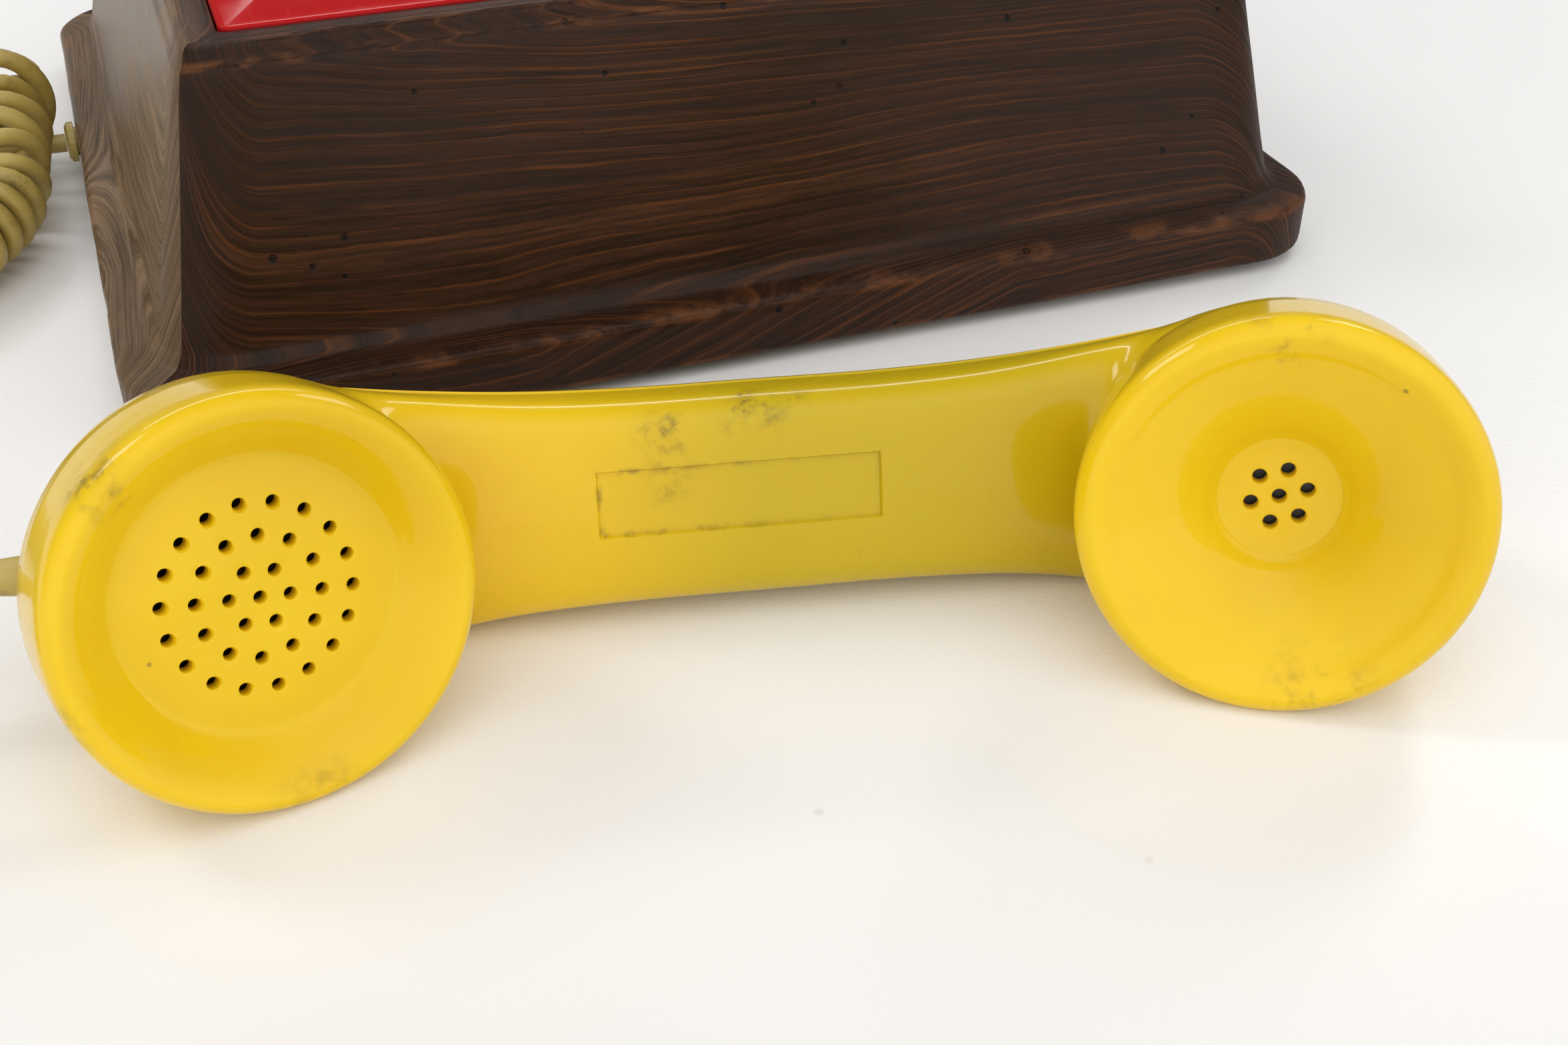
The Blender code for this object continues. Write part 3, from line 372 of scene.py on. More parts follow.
    def stroke(self, v, p, q, width):
        """1 on the segment from p to q, fading over width."""
        p, q = Vector(p) * S, Vector(q) * S
        d = q - p
        rel = self.vec('SUBTRACT', v, tuple(p))
        t = self.math('DIVIDE', self.vec('DOT_PRODUCT', rel, tuple(d)), d.length_squared, clamp=True)
        near = self.vec('SCALE', tuple(d), t)
        dist = self.vec('DISTANCE', rel, near)
        return self.span(dist, 0.0, width * S, 1.0, 0.0)


# ------------------------------------------------------------------ materials
def yellow_plastic(name, marks=True, coat=0.36):
    m = Mat(name, rough=0.2, Coat_Weight=coat, Coat_Roughness=0.03, IOR=1.46, Specular_IOR_Level=0.16, Subsurface_Weight=0.1, Subsurface_Scale=0.004,
            Subsurface_Radius=(1.0, 0.5, 0.06))
    p = m.pos
    h = m.local(p, tuple(HAND_O * S), tuple(HAND.to_euler()))
    hx, hy, hz = m.xyz(h)
    wide = m.noise(p, 16.0, 3.0)
    fine = m.noise(p, 140.0, 4.0, 0.6)
    col = m.mix(m.span(wide, 0.3, 0.7), (0.75, 0.485, 0.005), (0.85, 0.565, 0.009))
    # the grip has aged a little greener than the caps
    grip = m.math('MULTIPLY', m.span(m.math('ABSOLUTE', m.math('SUBTRACT', hx, 0.022)), 0.058, 0.02, 0.0, 1.0),
                  m.span(hz, -0.022, -0.03, 0.0, 1.0))
    col = m.mix(m.math('MULTIPLY', grip, 0.85), col, (0.51, 0.37, 0.004))
    col = m.mix(m.math('MULTIPLY', m.span(fine, 0.45, 0.75), 0.12), col, (0.72, 0.42, 0.006))
    if marks:
        grime = m.noise(p, 420.0, 5.0, 0.7)
        patch = m.noise(p, 120.0, 4.0, 0.65)
        mask = None
        for c, r, k in (((-1.5, 17.0, -33.0), 8.5, 1.0), ((-14.4, 12.8, -31.0), 8.0, 0.6), ((-16.0, 5.0, -31.0), 6.0, 0.4),
                        ((8.0, 17.5, -36.0), 5.0, 0.35), ((16.0, -9.5, -31.0), 2.2, 0.6), ((-94.0, 22.0, 5.0), 8.0, 0.55),
                        ((-103.0, -11.0, 8.0), 7.0, 0.5), ((-104.0, -22.0, 4.0), 7.0, 0.5), ((-71.0, -31.5, -3.0), 10.0, 0.35),
                        ((74.0, 29.0, -2.0), 8.0, 0.6), ((101.0, 7.0, -9.0), 7.0, 0.6), ((102.5, 16.0, -8.0), 6.0, 0.5),
                        ((45.0, -12.0, 7.0), 6.0, 0.5), ((82.0, -30.5, -2.0), 14.0, 0.45), ((62.0, 29.5, 0.0), 7.0, 0.4)):
            s = m.math('MULTIPLY', m.spot(h, c, r, 0.9), k)
            mask = s if mask is None else m.math('MAXIMUM', mask, s)
        cover = m.math('MULTIPLY', m.span(patch, 0.43, 0.60), m.span(grime, 0.42, 0.62))
        stain = m.math('MULTIPLY', mask, m.math('ADD', m.math('MULTIPLY', cover, 0.95), m.math('MULTIPLY', m.span(patch, 0.42, 0.6), 0.18)))
        # dirt caught round the sunk label field
        bx = m.math('SUBTRACT', m.math('ABSOLUTE', m.math('ADD', hx, 0.0042)), 0.0225)
        by = m.math('SUBTRACT', m.math('ABSOLUTE', m.math('SUBTRACT', hy, 0.0018)), 0.0052)
        edge = m.math('ABSOLUTE', m.math('MAXIMUM', bx, by))
        line = m.math('MULTIPLY', m.span(edge, 0.0009, 0.0001, 0.0, 1.0), m.span(hz, -0.0308, -0.0311, 0.0, 1.0))
        line = m.math('MULTIPLY', line, m.span(m.noise(p, 260.0, 4.0, 0.7), 0.4, 0.62))
        line = m.math('MULTIPLY', line, m.span(m.math('ABSOLUTE', hz), 0.034, 0.0325, 0.0, 1.0))
        stain = m.math('MAXIMUM', stain, m.math('MULTIPLY', line, m.span(hx, 0.019, -0.026, 0.10, 0.5)))
        # scattered specks
        d, c = m.cells(p, 95.0)
        cr, cg, cb = m.xyz(c)
        speck = m.math('MULTIPLY', m.span(d, 0.055, 0.03, 0.0, 1.0), m.span(cr, 0.8, 0.84, 0.0, 0.55))
        stain = m.math('MAXIMUM', stain, speck)
        col = m.mix(stain, col, (0.13, 0.085, 0.02))
        m.set('Roughness', m.math('ADD', m.math('MULTIPLY', stain, 0.35), m.span(fine, 0.3, 0.8, 0.16, 0.26)))
    else:
        m.set('Roughness', m.span(fine, 0.3, 0.8, 0.16, 0.26))
    m.set('Base Color', col)
    m.set('Normal', m.bump(m.math('ADD', m.noise(p, 45.0, 2.0), m.math('MULTIPLY', m.noise(p, 1500.0, 2.0), 0.03)), 0.10, 0.0012))
    return m.m


def dark_wood():
    m = Mat("dark_wood_m", rough=0.38, Coat_Weight=0.04, Coat_Roughness=0.28, IOR=1.45, Specular_IOR_Level=0.17)
    x, y, z = m.xyz(m.pos)
    ax_, ay_ = m.math('ABSOLUTE', x), m.math('ABSOLUTE', y)
    fx = m.math('SUBTRACT', ax_, CASE_LEN / 2 * S)
    fy = m.math('SUBTRACT', ay_, CASE_WID / 2 * S)
    long_side = m.span(m.math('SUBTRACT', fy, fx), -0.0002, 0.0002, smooth=False)
    inset = m.span(z, 0.0134, 0.0645, 0.0082, 0.0200, smooth=False)

    def rail(along, across_in, shift):
        """Grain height for one rail: rings show as lines along it and sweep round its ends."""
        depth = m.math('SUBTRACT', m.math('MULTIPLY', across_in, -1.0), inset)
        side = m.span(along, -0.05, 0.05, -1.0, 1.0, smooth=False)
        lift = m.math('MULTIPLY', m.math('MULTIPLY', depth, side), 1.9)
        # towards the rail's ends the rings turn out of the face and sweep up or down it
        half = (CASE_LEN if shift < 1.0 else CASE_WID) / 2 * S
        out = m.math('ADD', m.math('SUBTRACT', m.math('ABSOLUTE', along), half), m.math('ADD', inset, 0.0165))
        out = m.math('MAXIMUM', out, 0.0)
        lift = m.math('ADD', lift, m.math('MULTIPLY', m.math('MULTIPLY', m.math('MULTIPLY', out, out), 62.0), side))
        base = m.math('ADD', m.math('ADD', z, lift), shift)
        slow = m.noise(m.combine(m.math('MULTIPLY', along, 4.2), m.math('MULTIPLY', base, 14.0), shift), 1.0, 2.0, 0.5)
        wav = m.noise(m.combine(m.math('MULTIPLY', along, 34.0), m.math('MULTIPLY', base, 50.0), shift * 3.0), 1.0, 3.0, 0.55)
        g = m.math('ADD', base, m.math('MULTIPLY', m.math('SUBTRACT', slow, 0.5), 0.032))
        g = m.math('ADD', g, m.math('MULTIPLY', m.math('SUBTRACT', wav, 0.5), 0.0015))
        # the board's heart: lines climb towards one end near the top
        climb = m.math('MULTIPLY', m.span(z, 0.03, 0.07, 0.0, 1.0), m.math('MULTIPLY', along, 0.09))
        return m.math('ADD', g, climb)

    g_long = rail(x, fy, 0.35)
    g_short = rail(y, fx, 1.15)
    g = m.math('ADD', m.math('MULTIPLY', g_long, long_side), m.math('MULTIPLY', g_short, m.math('SUBTRACT', 1.0, long_side)))
    along = m.math('ADD', m.math('MULTIPLY', x, long_side), m.math('MULTIPLY', y, m.math('SUBTRACT', 1.0, long_side)))
    # growth rings of uneven width
    rings = m.noise(m.combine(m.math('MULTIPLY', g, 240.0), 0.0, 0.0), 1.0, 2.0, 0.5)
    phase = m.math('ADD', m.math('MULTIPLY', g, 430.0), m.math('MULTIPLY', rings, 3.6))
    saw = m.math('FRACT', phase)
    early = m.span(m.math('ABSOLUTE', m.math('SUBTRACT', saw, 0.5)), 0.0, 0.5)          # 1 on the ring line
    thin = m.math('POWER', early, 10.0)
    fibre = m.noise(m.combine(m.math('MULTIPLY', along, 38.0), m.math('MULTIPLY', g, 1500.0), m.math('MULTIPLY', g, 60.0)), 1.0, 4.0, 0.7)
    pores = m.noise(m.combine(m.math('MULTIPLY', along, 170.0), m.math('MULTIPLY', g, 2600.0), 0.3), 1.0, 2.0, 0.5)
    patch = m.noise(m.combine(m.math('MULTIPLY', along, 16.0), m.math('MULTIPLY', g, 90.0), 2.0), 1.0, 3.0, 0.6)
    col = m.ramp(m.math('ADD', m.math('MULTIPLY', fibre, 0.72), m.math('ADD', m.math('MULTIPLY', saw, 0.12), m.math('MULTIPLY', patch, 0.24))),
                 (0.30, (0.0100, 0.0044, 0.0024)), (0.48, (0.021, 0.0080, 0.0034)), (0.62, (0.040, 0.0140, 0.0050)),
                 (0.80, (0.085, 0.029, 0.0080)))
    line = m.math('MULTIPLY', thin, m.span(m.math('ADD', m.math('MULTIPLY', patch, 0.6), m.math('MULTIPLY', fibre, 0.4)), 0.38, 0.60))
    col = m.mix(m.math('MULTIPLY', line, 0.5), col, (0.155, 0.049, 0.0110))
    col = m.mix(m.math('MULTIPLY', m.span(pores, 0.58, 0.72), 0.5), col, (0.007, 0.0035, 0.0024))
    col = m.mix(m.math('MULTIPLY', m.span(m.noise(m.pos, 14.0, 3.0), 0.45, 0.75), 0.35), col, (0.024, 0.0115, 0.0058))
    # finish marks: black flecks
    d, c = m.cells(m.pos, 170.0)
    cr, cg, cb = m.xyz(c)
    fleck = m.math('MULTIPLY', m.span(d, 0.13, 0.07, 0.0, 1.0), m.span(cr, 0.72, 0.76))
    d2, c2 = m.cells(m.pos, 75.0)
    cr2, cg2, cb2 = m.xyz(c2)
    fleck2 = m.math('MULTIPLY', m.span(m.math('ADD', d2, m.math('MULTIPLY', fibre, 0.06)), 0.11, 0.07, 0.0, 1.0), m.span(cr2, 0.8, 0.83))
    fleck = m.math('MAXIMUM', fleck, fleck2)
    col = m.mix(m.math('MULTIPLY', fleck, 0.9), col, (0.0025, 0.0022, 0.0022))
    # knocks and cracks
    crack = m.math('MAXIMUM', m.stroke(m.pos, (-30.8, -89.6, 51.8), (-29.6, -92.0, 40.5), 0.45),
                   m.stroke(m.pos, (-29.6, -92.0, 40.5), (-26.4, -94.2, 30.6), 0.4))
    crack = m.math('MAXIMUM', crack, m.stroke(m.pos, (52.5, -89.6, 50.5), (53.0, -91.0, 44.6), 0.5))
    crack = m.math('MAXIMUM', crack, m.stroke(m.pos, (31.0, -89.6, 51.0), (34.5, -92.9, 36.0), 0.25))
    nick = m.stroke(m.pos, (-98.9, -95.6, 26.0), (-98.6, -96.2, 23.0), 0.8)
    col = m.mix(m.math('MULTIPLY', crack, 0.65), col, (0.006, 0.004, 0.0035))
    col = m.mix(m.math('MULTIPLY', nick, 0.9), col, (0.24, 0.085, 0.022))
    # worn edges: plinth's foot and top, rim's outer and inner edges
    worn_noise = m.noise(m.combine(m.math('MULTIPLY', along, 60.0), m.math('MULTIPLY', z, 220.0), 0.0), 1.0, 4.0, 0.65)
    foot = m.span(z, 0.0019, 0.0004, 0.0, 1.0)
    top = m.math('MULTIPLY', m.span(z, 0.0092, 0.0108, 0.0, 1.0), m.span(z, 0.0124, 0.0116, 0.0, 1.0))
    rim = m.math('MULTIPLY', m.span(z, 0.0636, 0.0646, 0.0, 1.0), m.span(z, 0.0662, 0.0652, 0.0, 1.0))
    crest = m.span(z, 0.0679, 0.06845, 0.0, 0.75)
    wear = m.math('MAXIMUM', m.math('MAXIMUM', foot, m.math('MULTIPLY', top, 0.85)), m.math('MAXIMUM', rim, crest))
    wear = m.math('MULTIPLY', wear, m.span(worn_noise, 0.46, 0.64))
    col = m.mix(m.math('MULTIPLY', wear, 0.55), col, (0.21, 0.075, 0.024))
    # the left end is painted lighter and greyer: a painted sheen standing in for the grazing reflection of the bright
    # floor
    painted_end_sheen = m.math('MULTIPLY', m.span(x, -0.098, -0.106), m.math('SUBTRACT', 1.0, long_side))
    col = m.mix(m.math('MULTIPLY', painted_end_sheen, m.span(fibre, 0.35, 0.65, 0.16, 0.46)), col, (0.44, 0.31, 0.19))
    m.set('Base Color', col)
    rough = m.math('ADD', m.span(fibre, 0.3, 0.7, 0.30, 0.46), m.math('MULTIPLY', wear, 0.15))
    m.set('Roughness', rough)
    # relief: combed fibres, ring ridges that stand out at the rail ends, cracks
    ends = m.math('ADD', m.math('MULTIPLY', m.span(m.math('ADD', m.math('SUBTRACT', ax_, CASE_LEN / 2 * S), m.math('ADD', inset, 0.0165)), 0.0, 0.010), long_side),
                  m.math('MULTIPLY', m.span(m.math('ADD', m.math('SUBTRACT', ay_, CASE_WID / 2 * S), m.math('ADD', inset, 0.0165)), 0.0, 0.010), m.math('SUBTRACT', 1.0, long_side)))
    ledge = m.math('MULTIPLY', m.span(z, 0.0108, 0.0116), m.span(z, 0.0150, 0.0135))
    cove = m.math('MULTIPLY', m.span(z, 0.0645, 0.0650), m.span(z, 0.0684, 0.0676))
    combed = m.math('ADD', m.math('MULTIPLY', ends, 1.4), m.math('ADD', 0.35, m.math('MULTIPLY', m.math('MAXIMUM', ledge, cove), 1.6)))
    ridge = m.math('MULTIPLY', m.math('ADD', m.math('MULTIPLY', saw, 0.7), m.math('MULTIPLY', fibre, 0.6)), combed)
    n1 = m.bump(ridge, 0.7, 0.00048)
    n2 = m.bump(m.math('MULTIPLY', m.math('MAXIMUM', m.math('MAXIMUM', crack, nick), fleck), -1.0), 0.8, 0.0004, n1)
    n3 = m.bump(m.noise(m.pos, 60.0, 4.0, 0.6), 0.35, 0.0010, n2)
    m.set('Normal', n3)
    return m.m


def red_panel():
    m = Mat("red_panel_m", rough=0.10, Coat_Weight=0.05, Coat_Roughness=0.03, IOR=1.45, Specular_IOR_Level=0.06)
    p = m.pos
    x, y, z = m.xyz(p)
    wide = m.noise(p, 9.0, 3.0)
    col = m.mix(m.span(wide, 0.3, 0.7), (0.40, 0.005, 0.006), (0.46, 0.007, 0.008))
    # painted shade: the panel's rounded rim and sides, where it sits down in the wooden frame, are darkened
    edge = m.span(z, 0.0682, 0.0676, 0.0, 1.0)
    col = m.mix(m.math('MULTIPLY', edge, 0.6), col, (0.19, 0.004, 0.006))
    scratch = m.noise(m.combine(m.math('MULTIPLY', x, 900.0), m.math('MULTIPLY', y, 18.0), 0.0), 1.0, 2.0, 0.6)
    scratch2 = m.noise(m.combine(m.math('MULTIPLY', x, 22.0), m.math('MULTIPLY', y, 1100.0), 4.0), 1.0, 2.0, 0.6)
    s = m.math('MAXIMUM', m.span(scratch, 0.7, 0.76), m.span(scratch2, 0.71, 0.77))
    d, c = m.cells(p, 150.0)
    dust = m.math('MULTIPLY', m.span(d, 0.06, 0.03), m.span(m.xyz(c)[0], 0.85, 0.87))
    col = m.mix(m.math('MULTIPLY', dust, 0.5), col, (0.6, 0.35, 0.32))
    m.set('Base Color', col)
    m.set('Roughness', m.math('ADD', m.span(m.noise(p, 70.0, 4.0), 0.3, 0.8, 0.05, 0.13), m.math('MULTIPLY', s, 0.12)))
    m.set('Normal', m.bump(m.math('ADD', m.noise(p, 30.0, 1.0), m.math('MULTIPLY', s, -0.05)), 0.06, 0.0010))
    return m.m


def cord_vinyl(name="cord_vinyl_m"):
    m = Mat(name, rough=0.42, IOR=1.5, Coat_Weight=0.12, Coat_Roughness=0.3, Subsurface_Weight=0.05, Subsurface_Scale=0.002,
            Subsurface_Radius=(1.0, 0.7, 0.2))
    p = m.pos
    wide = m.noise(p, 55.0, 3.0)
    col = m.mix(m.span(wide, 0.3, 0.7), (0.40, 0.285, 0.060), (0.52, 0.40, 0.105))
    soot = m.math('MULTIPLY', m.span(m.noise(p, 210.0, 5.0, 0.7), 0.52, 0.7), 0.45)
    col = m.mix(soot, col, (0.15, 0.10, 0.035))
    d, c = m.cells(p, 160.0)
    spot = m.math('MULTIPLY', m.span(d, 0.12, 0.06), m.span(m.xyz(c)[0], 0.86, 0.88))
    col = m.mix(m.math('MULTIPLY', spot, 0.7), col, (0.10, 0.045, 0.03))
    m.set('Base Color', col)
    m.set('Roughness', m.span(m.noise(p, 300.0, 3.0), 0.3, 0.7, 0.34, 0.52))
    m.set('Normal', m.bump(m.noise(p, 700.0, 4.0, 0.6), 0.15, 0.0004))
    return m.m


def metal(name, rgb, rough, brush=0.0, spots=0.15, tarnish=(0.2, 0.15, 0.1), axis=0):
    m = Mat(name, rough=rough, metal=1.0)
    p = m.pos
    x, y, z = m.xyz(p)
    wide = m.noise(p, 30.0, 4.0, 0.6)
    fine = m.noise(p, 600.0, 4.0, 0.6)
    col = m.mix(m.math('MULTIPLY', m.span(wide, 0.45, 0.75), spots), rgb, tarnish)
    col = m.mix(m.math('MULTIPLY', m.span(fine, 0.55, 0.75), spots * 0.6), col, tarnish)
    m.set('Base Color', col)
    m.set('Roughness', m.span(m.math('ADD', m.math('MULTIPLY', wide, 0.6), m.math('MULTIPLY', fine, 0.4)), 0.3, 0.7, rough * 0.75, rough * 1.4))
    if brush:
        k = [40.0, 40.0, 40.0]
        k[axis] = 1800.0
        s = m.noise(m.combine(m.math('MULTIPLY', x, k[0]), m.math('MULTIPLY', y, k[1]), m.math('MULTIPLY', z, k[2])), 1.0, 2.0, 0.5)
        m.set('Normal', m.bump(s, brush, 0.0002))
    else:
        m.set('Normal', m.bump(m.noise(p, 220.0, 3.0), 0.05, 0.0004))
    return m.m


def plain(name, a, b, rough, scale=120.0, relief=0.15, depth=0.0004, **values):
    m = Mat(name, rough=rough, **values)
    p = m.pos
    n = m.noise(p, scale, 5.0, 0.6)
    m.set('Base Color', m.mix(m.span(n, 0.35, 0.65), a, b))
    m.set('Roughness', m.span(m.noise(p, scale * 2.3, 3.0), 0.3, 0.7, rough * 0.85, min(rough * 1.2, 1.0)))
    m.set('Normal', m.bump(m.noise(p, scale * 6.0, 3.0), relief, depth))
    return m.m


def clear_plastic():
    m = Mat("clear_plastic_m", rough=0.03, IOR=1.49, Transmission_Weight=1.0)
    n = m.noise(m.pos, 90.0, 3.0)
    m.set('Base Color', m.mix(m.span(n, 0.4, 0.7), (0.97, 0.98, 0.98), (0.93, 0.94, 0.92)))
    m.set('Roughness', m.span(m.noise(m.pos, 300.0, 4.0), 0.5, 0.8, 0.015, 0.08))
    m.set('Normal', m.bump(m.noise(m.pos, 60.0, 2.0), 0.03, 0.0005))
    return m.m


MATS = {
    "dark_wood": dark_wood(),
    "red_panel": red_panel(),
    "yellow_plastic": yellow_plastic("yellow_plastic_m"),
    "cord_vinyl": cord_vinyl(),
    "steel": metal("steel_m", (0.52, 0.52, 0.50), 0.34, brush=0.25, spots=0.25),
    "chrome": metal("chrome_m", (0.80, 0.80, 0.80), 0.08, spots=0.06),
    "brass": metal("brass_m", (0.68, 0.48, 0.19), 0.22, brush=0.12, spots=0.35, tarnish=(0.25, 0.15, 0.06)),
    "rubber": plain("rubber_m", (0.018, 0.018, 0.018), (0.032, 0.031, 0.03), 0.75),
    "white_enamel": plain("white_enamel_m", (0.80, 0.79, 0.74), (0.74, 0.72, 0.66), 0.22, 60.0, 0.05, Coat_Weight=0.4, Coat_Roughness=0.05),
    "black_phenolic": plain("black_phenolic_m", (0.012, 0.012, 0.012), (0.028, 0.026, 0.024), 0.35, 200.0, 0.1),
    "enamelled_copper": metal("enamelled_copper_m", (0.50, 0.17, 0.06), 0.3, brush=0.6, spots=0.2, axis=1),
    "card": plain("card_m", (0.84, 0.81, 0.72), (0.77, 0.73, 0.62), 0.8, 250.0, 0.3),
    "clear_plastic": clear_plastic(),
}
INK = plain("dial_ink_m", (0.012, 0.012, 0.013), (0.022, 0.021, 0.02), 0.3, 300.0, 0.05)

for node in NODES.values():
    for slot in node.material_slots:
        base = slot.material.name.split('.')[0]
        if base in MATS:
            slot.material = MATS[base]
for slot in NODES["cord_grommet"].material_slots:
    slot.material = MATS["cord_vinyl"]
for name in ("receiver_capsule", "transmitter_capsule", "contact_cup"):
    for slot in NODES[name].material_slots:
        slot.material = MATS["black_phenolic"]
if "card_window" in NODES:
    for slot in NODES["card_window"].material_slots:
        slot.material = MATS["clear_plastic"]


def piece(ob, body, mat, *nodes, slot=None):
    ob.data.materials.clear()
    ob.data.materials.append(MATS[mat] if isinstance(mat, str) else mat)
    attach(ob, body)
    if nodes:
        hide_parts(*nodes)
    return ob


# ------------------------------------------------------------------ handset cord
def on_hand_point(p):
    return HAND.to_3x3() @ Vector(p) + HAND_O


BOOT = on_hand_point((-120.0, 0.0, -25.0))


def cord_path():
    """Centreline points in millimetres: stub, a slack tangle beside the case, the coil, the handset end."""
    # axis point, turn radius, pitch
    axis = [(-135.6, 30.8, 6.6, 0.5, 5.0), (-138.6, 34.5, 9.0, 3.4, 6.2), (-141.0, 43.0, 13.6, 9.8, 7.4), (-142.6, 33.0, 15.2, 10.6, 7.6),
            (-142.2, 21.0, 13.0, 9.2, 7.0), (-143.6, 10.5, 12.2, 9.6, 7.2), (-142.8, 0.5, 9.2, 7.6, 6.6), (-147.5, -13.0, 8.6, 7.2, 5.2),
            (-159.0, -27.0, 7.4, 6.8, 4.6), (-176.0, -44.0, FLOOR_C, 6.75, 4.45), (-190.0, -70.0, FLOOR_C, 6.75, 4.4), (-198.0, -100.0, FLOOR_C, 6.75, 4.4),
            (-201.5, -130.0, FLOOR_C, 6.75, 4.4), (-199.6, -152.0, FLOOR_C, 6.6, 4.6), (-198.2, -163.0, FLOOR_C + 0.4, 4.2, 5.2), (-197.6, -168.0, FLOOR_C, 1.0, 6.0)]
    fine = curve_through(axis, 40)
    pts = []
    theta = math.radians(200.0)
    prev = None
    last = None
    for q in fine:
        c = Vector(q[:3])
        if prev is None:
            prev = c
            continue
        step = (c - prev)
        ds = step.length
        if ds < 1e-9:
            continue
        t = step.normalized()
        up = Vector((0, 0, 1))
        n1 = (up - t * up.dot(t)).normalized()
        n2 = t.cross(n1)
        r, pitch = max(q[3], 0.3), q[4]
        sub = max(1, int(math.ceil(ds / pitch * 22)))
        for k in range(sub):
            f = (k + 1) / sub
            theta += 2 * math.pi * ds / pitch / sub
            w = prev.lerp(c, f)
            # slack turns near the case lean and swell unevenly; the rest lie close
            slack = min(max((w.y + 16.0) / 20.0, 0.0), 1.0) * min(r / 6.0, 1.0)
            turn = theta / (2 * math.pi)
            wob = 1.0 + slack * 0.20 * noise.noise(Vector((turn * 0.9, 0.0, 3.0)))
            tilt = slack * 3.4 * noise.noise(Vector((turn * 0.7, 5.0, 9.0)))
            p = w + (n1 * math.cos(theta) + n2 * math.sin(theta)) * r * wob + t * (tilt * math.cos(theta + 1.3 * turn))
            p.z = max(p.z, FLOOR + CORD_D / 2 + 0.15)
            if last is None or (p - last).length > 1.5:
                pts.append(p)
                last = p
        prev = c
    head = [Vector((-128.6, 31.0, 6.0)), Vector((-130.2, 31.0, 6.0)), Vector((-131.8, 30.9, 6.1))]
    # the tail leaves the coil, turns round in one easy bend and runs straight into the boot
    a = Vector((-197.6, -168.0, FLOOR_C))
    b, c, d = a + Vector((-1.0, -17.0, 1.0)), BOOT - AX * 34.0 + Vector((0, 0, -7.0)), BOOT - AX * 8.0
    tail = []
    for k in range(2, 17):
        f = k / 16
        p = a * (1 - f) ** 3 + b * (3 * f * (1 - f) ** 2) + c * (3 * f * f * (1 - f)) + d * f ** 3
        p.z = max(p.z, FLOOR + CORD_D / 2 + 0.15)
        tail.append(p)
    tail.append(BOOT - AX * 0.35)
    return head, pts, tail


head, middle, tail = cord_path()


def thin_path(points, gap):
    out = [points[0]]
    for p in points[1:-1]:
        if (p - out[-1]).length >= gap:
            out.append(p)
    out.append(points[-1])
    return out


ctrl = head + thin_path(middle, 2.2) + tail
smooth = [Vector(p) for p in curve_through([tuple(p) for p in ctrl], 4)]
smooth = [p for i, p in enumerate(smooth) if i % 2 == 0 or i == len(smooth) - 1]
smooth = thin_path(smooth, 1.4)


def tube_mesh(name, pts, d, sides=12):
    rings = []
    t0 = (pts[1] - pts[0]).normalized()
    n = Vector((0, 0, 1))
    n = (n - t0 * n.dot(t0)).normalized()
    for i, p in enumerate(pts):
        t = (pts[min(i + 1, len(pts) - 1)] - pts[max(i - 1, 0)]).normalized()
        n = (n - t * n.dot(t)).normalized()
        b = t.cross(n)
        rings.append([p + (n * math.cos(2 * math.pi * k / sides) + b * math.sin(2 * math.pi * k / sides)) * d / 2 for k in range(sides)])
    return skin(name, rings, sharp=60.0)


cord = tube_mesh("handset_cord", smooth, CORD_D)
cord.data.materials.append(MATS["cord_vinyl"])
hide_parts("cord_case_tail", "cord_coil", "cord_handset_tail")
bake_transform(cord)


# ------------------------------------------------------------------ wooden case
def case_inset(z):
    t = min(max((z - 13.4) / (SIDE_TOP - 13.4), 0.0), 1.0)
    return 8.2 + (RIM_INSET - 8.2) * t ** 0.95


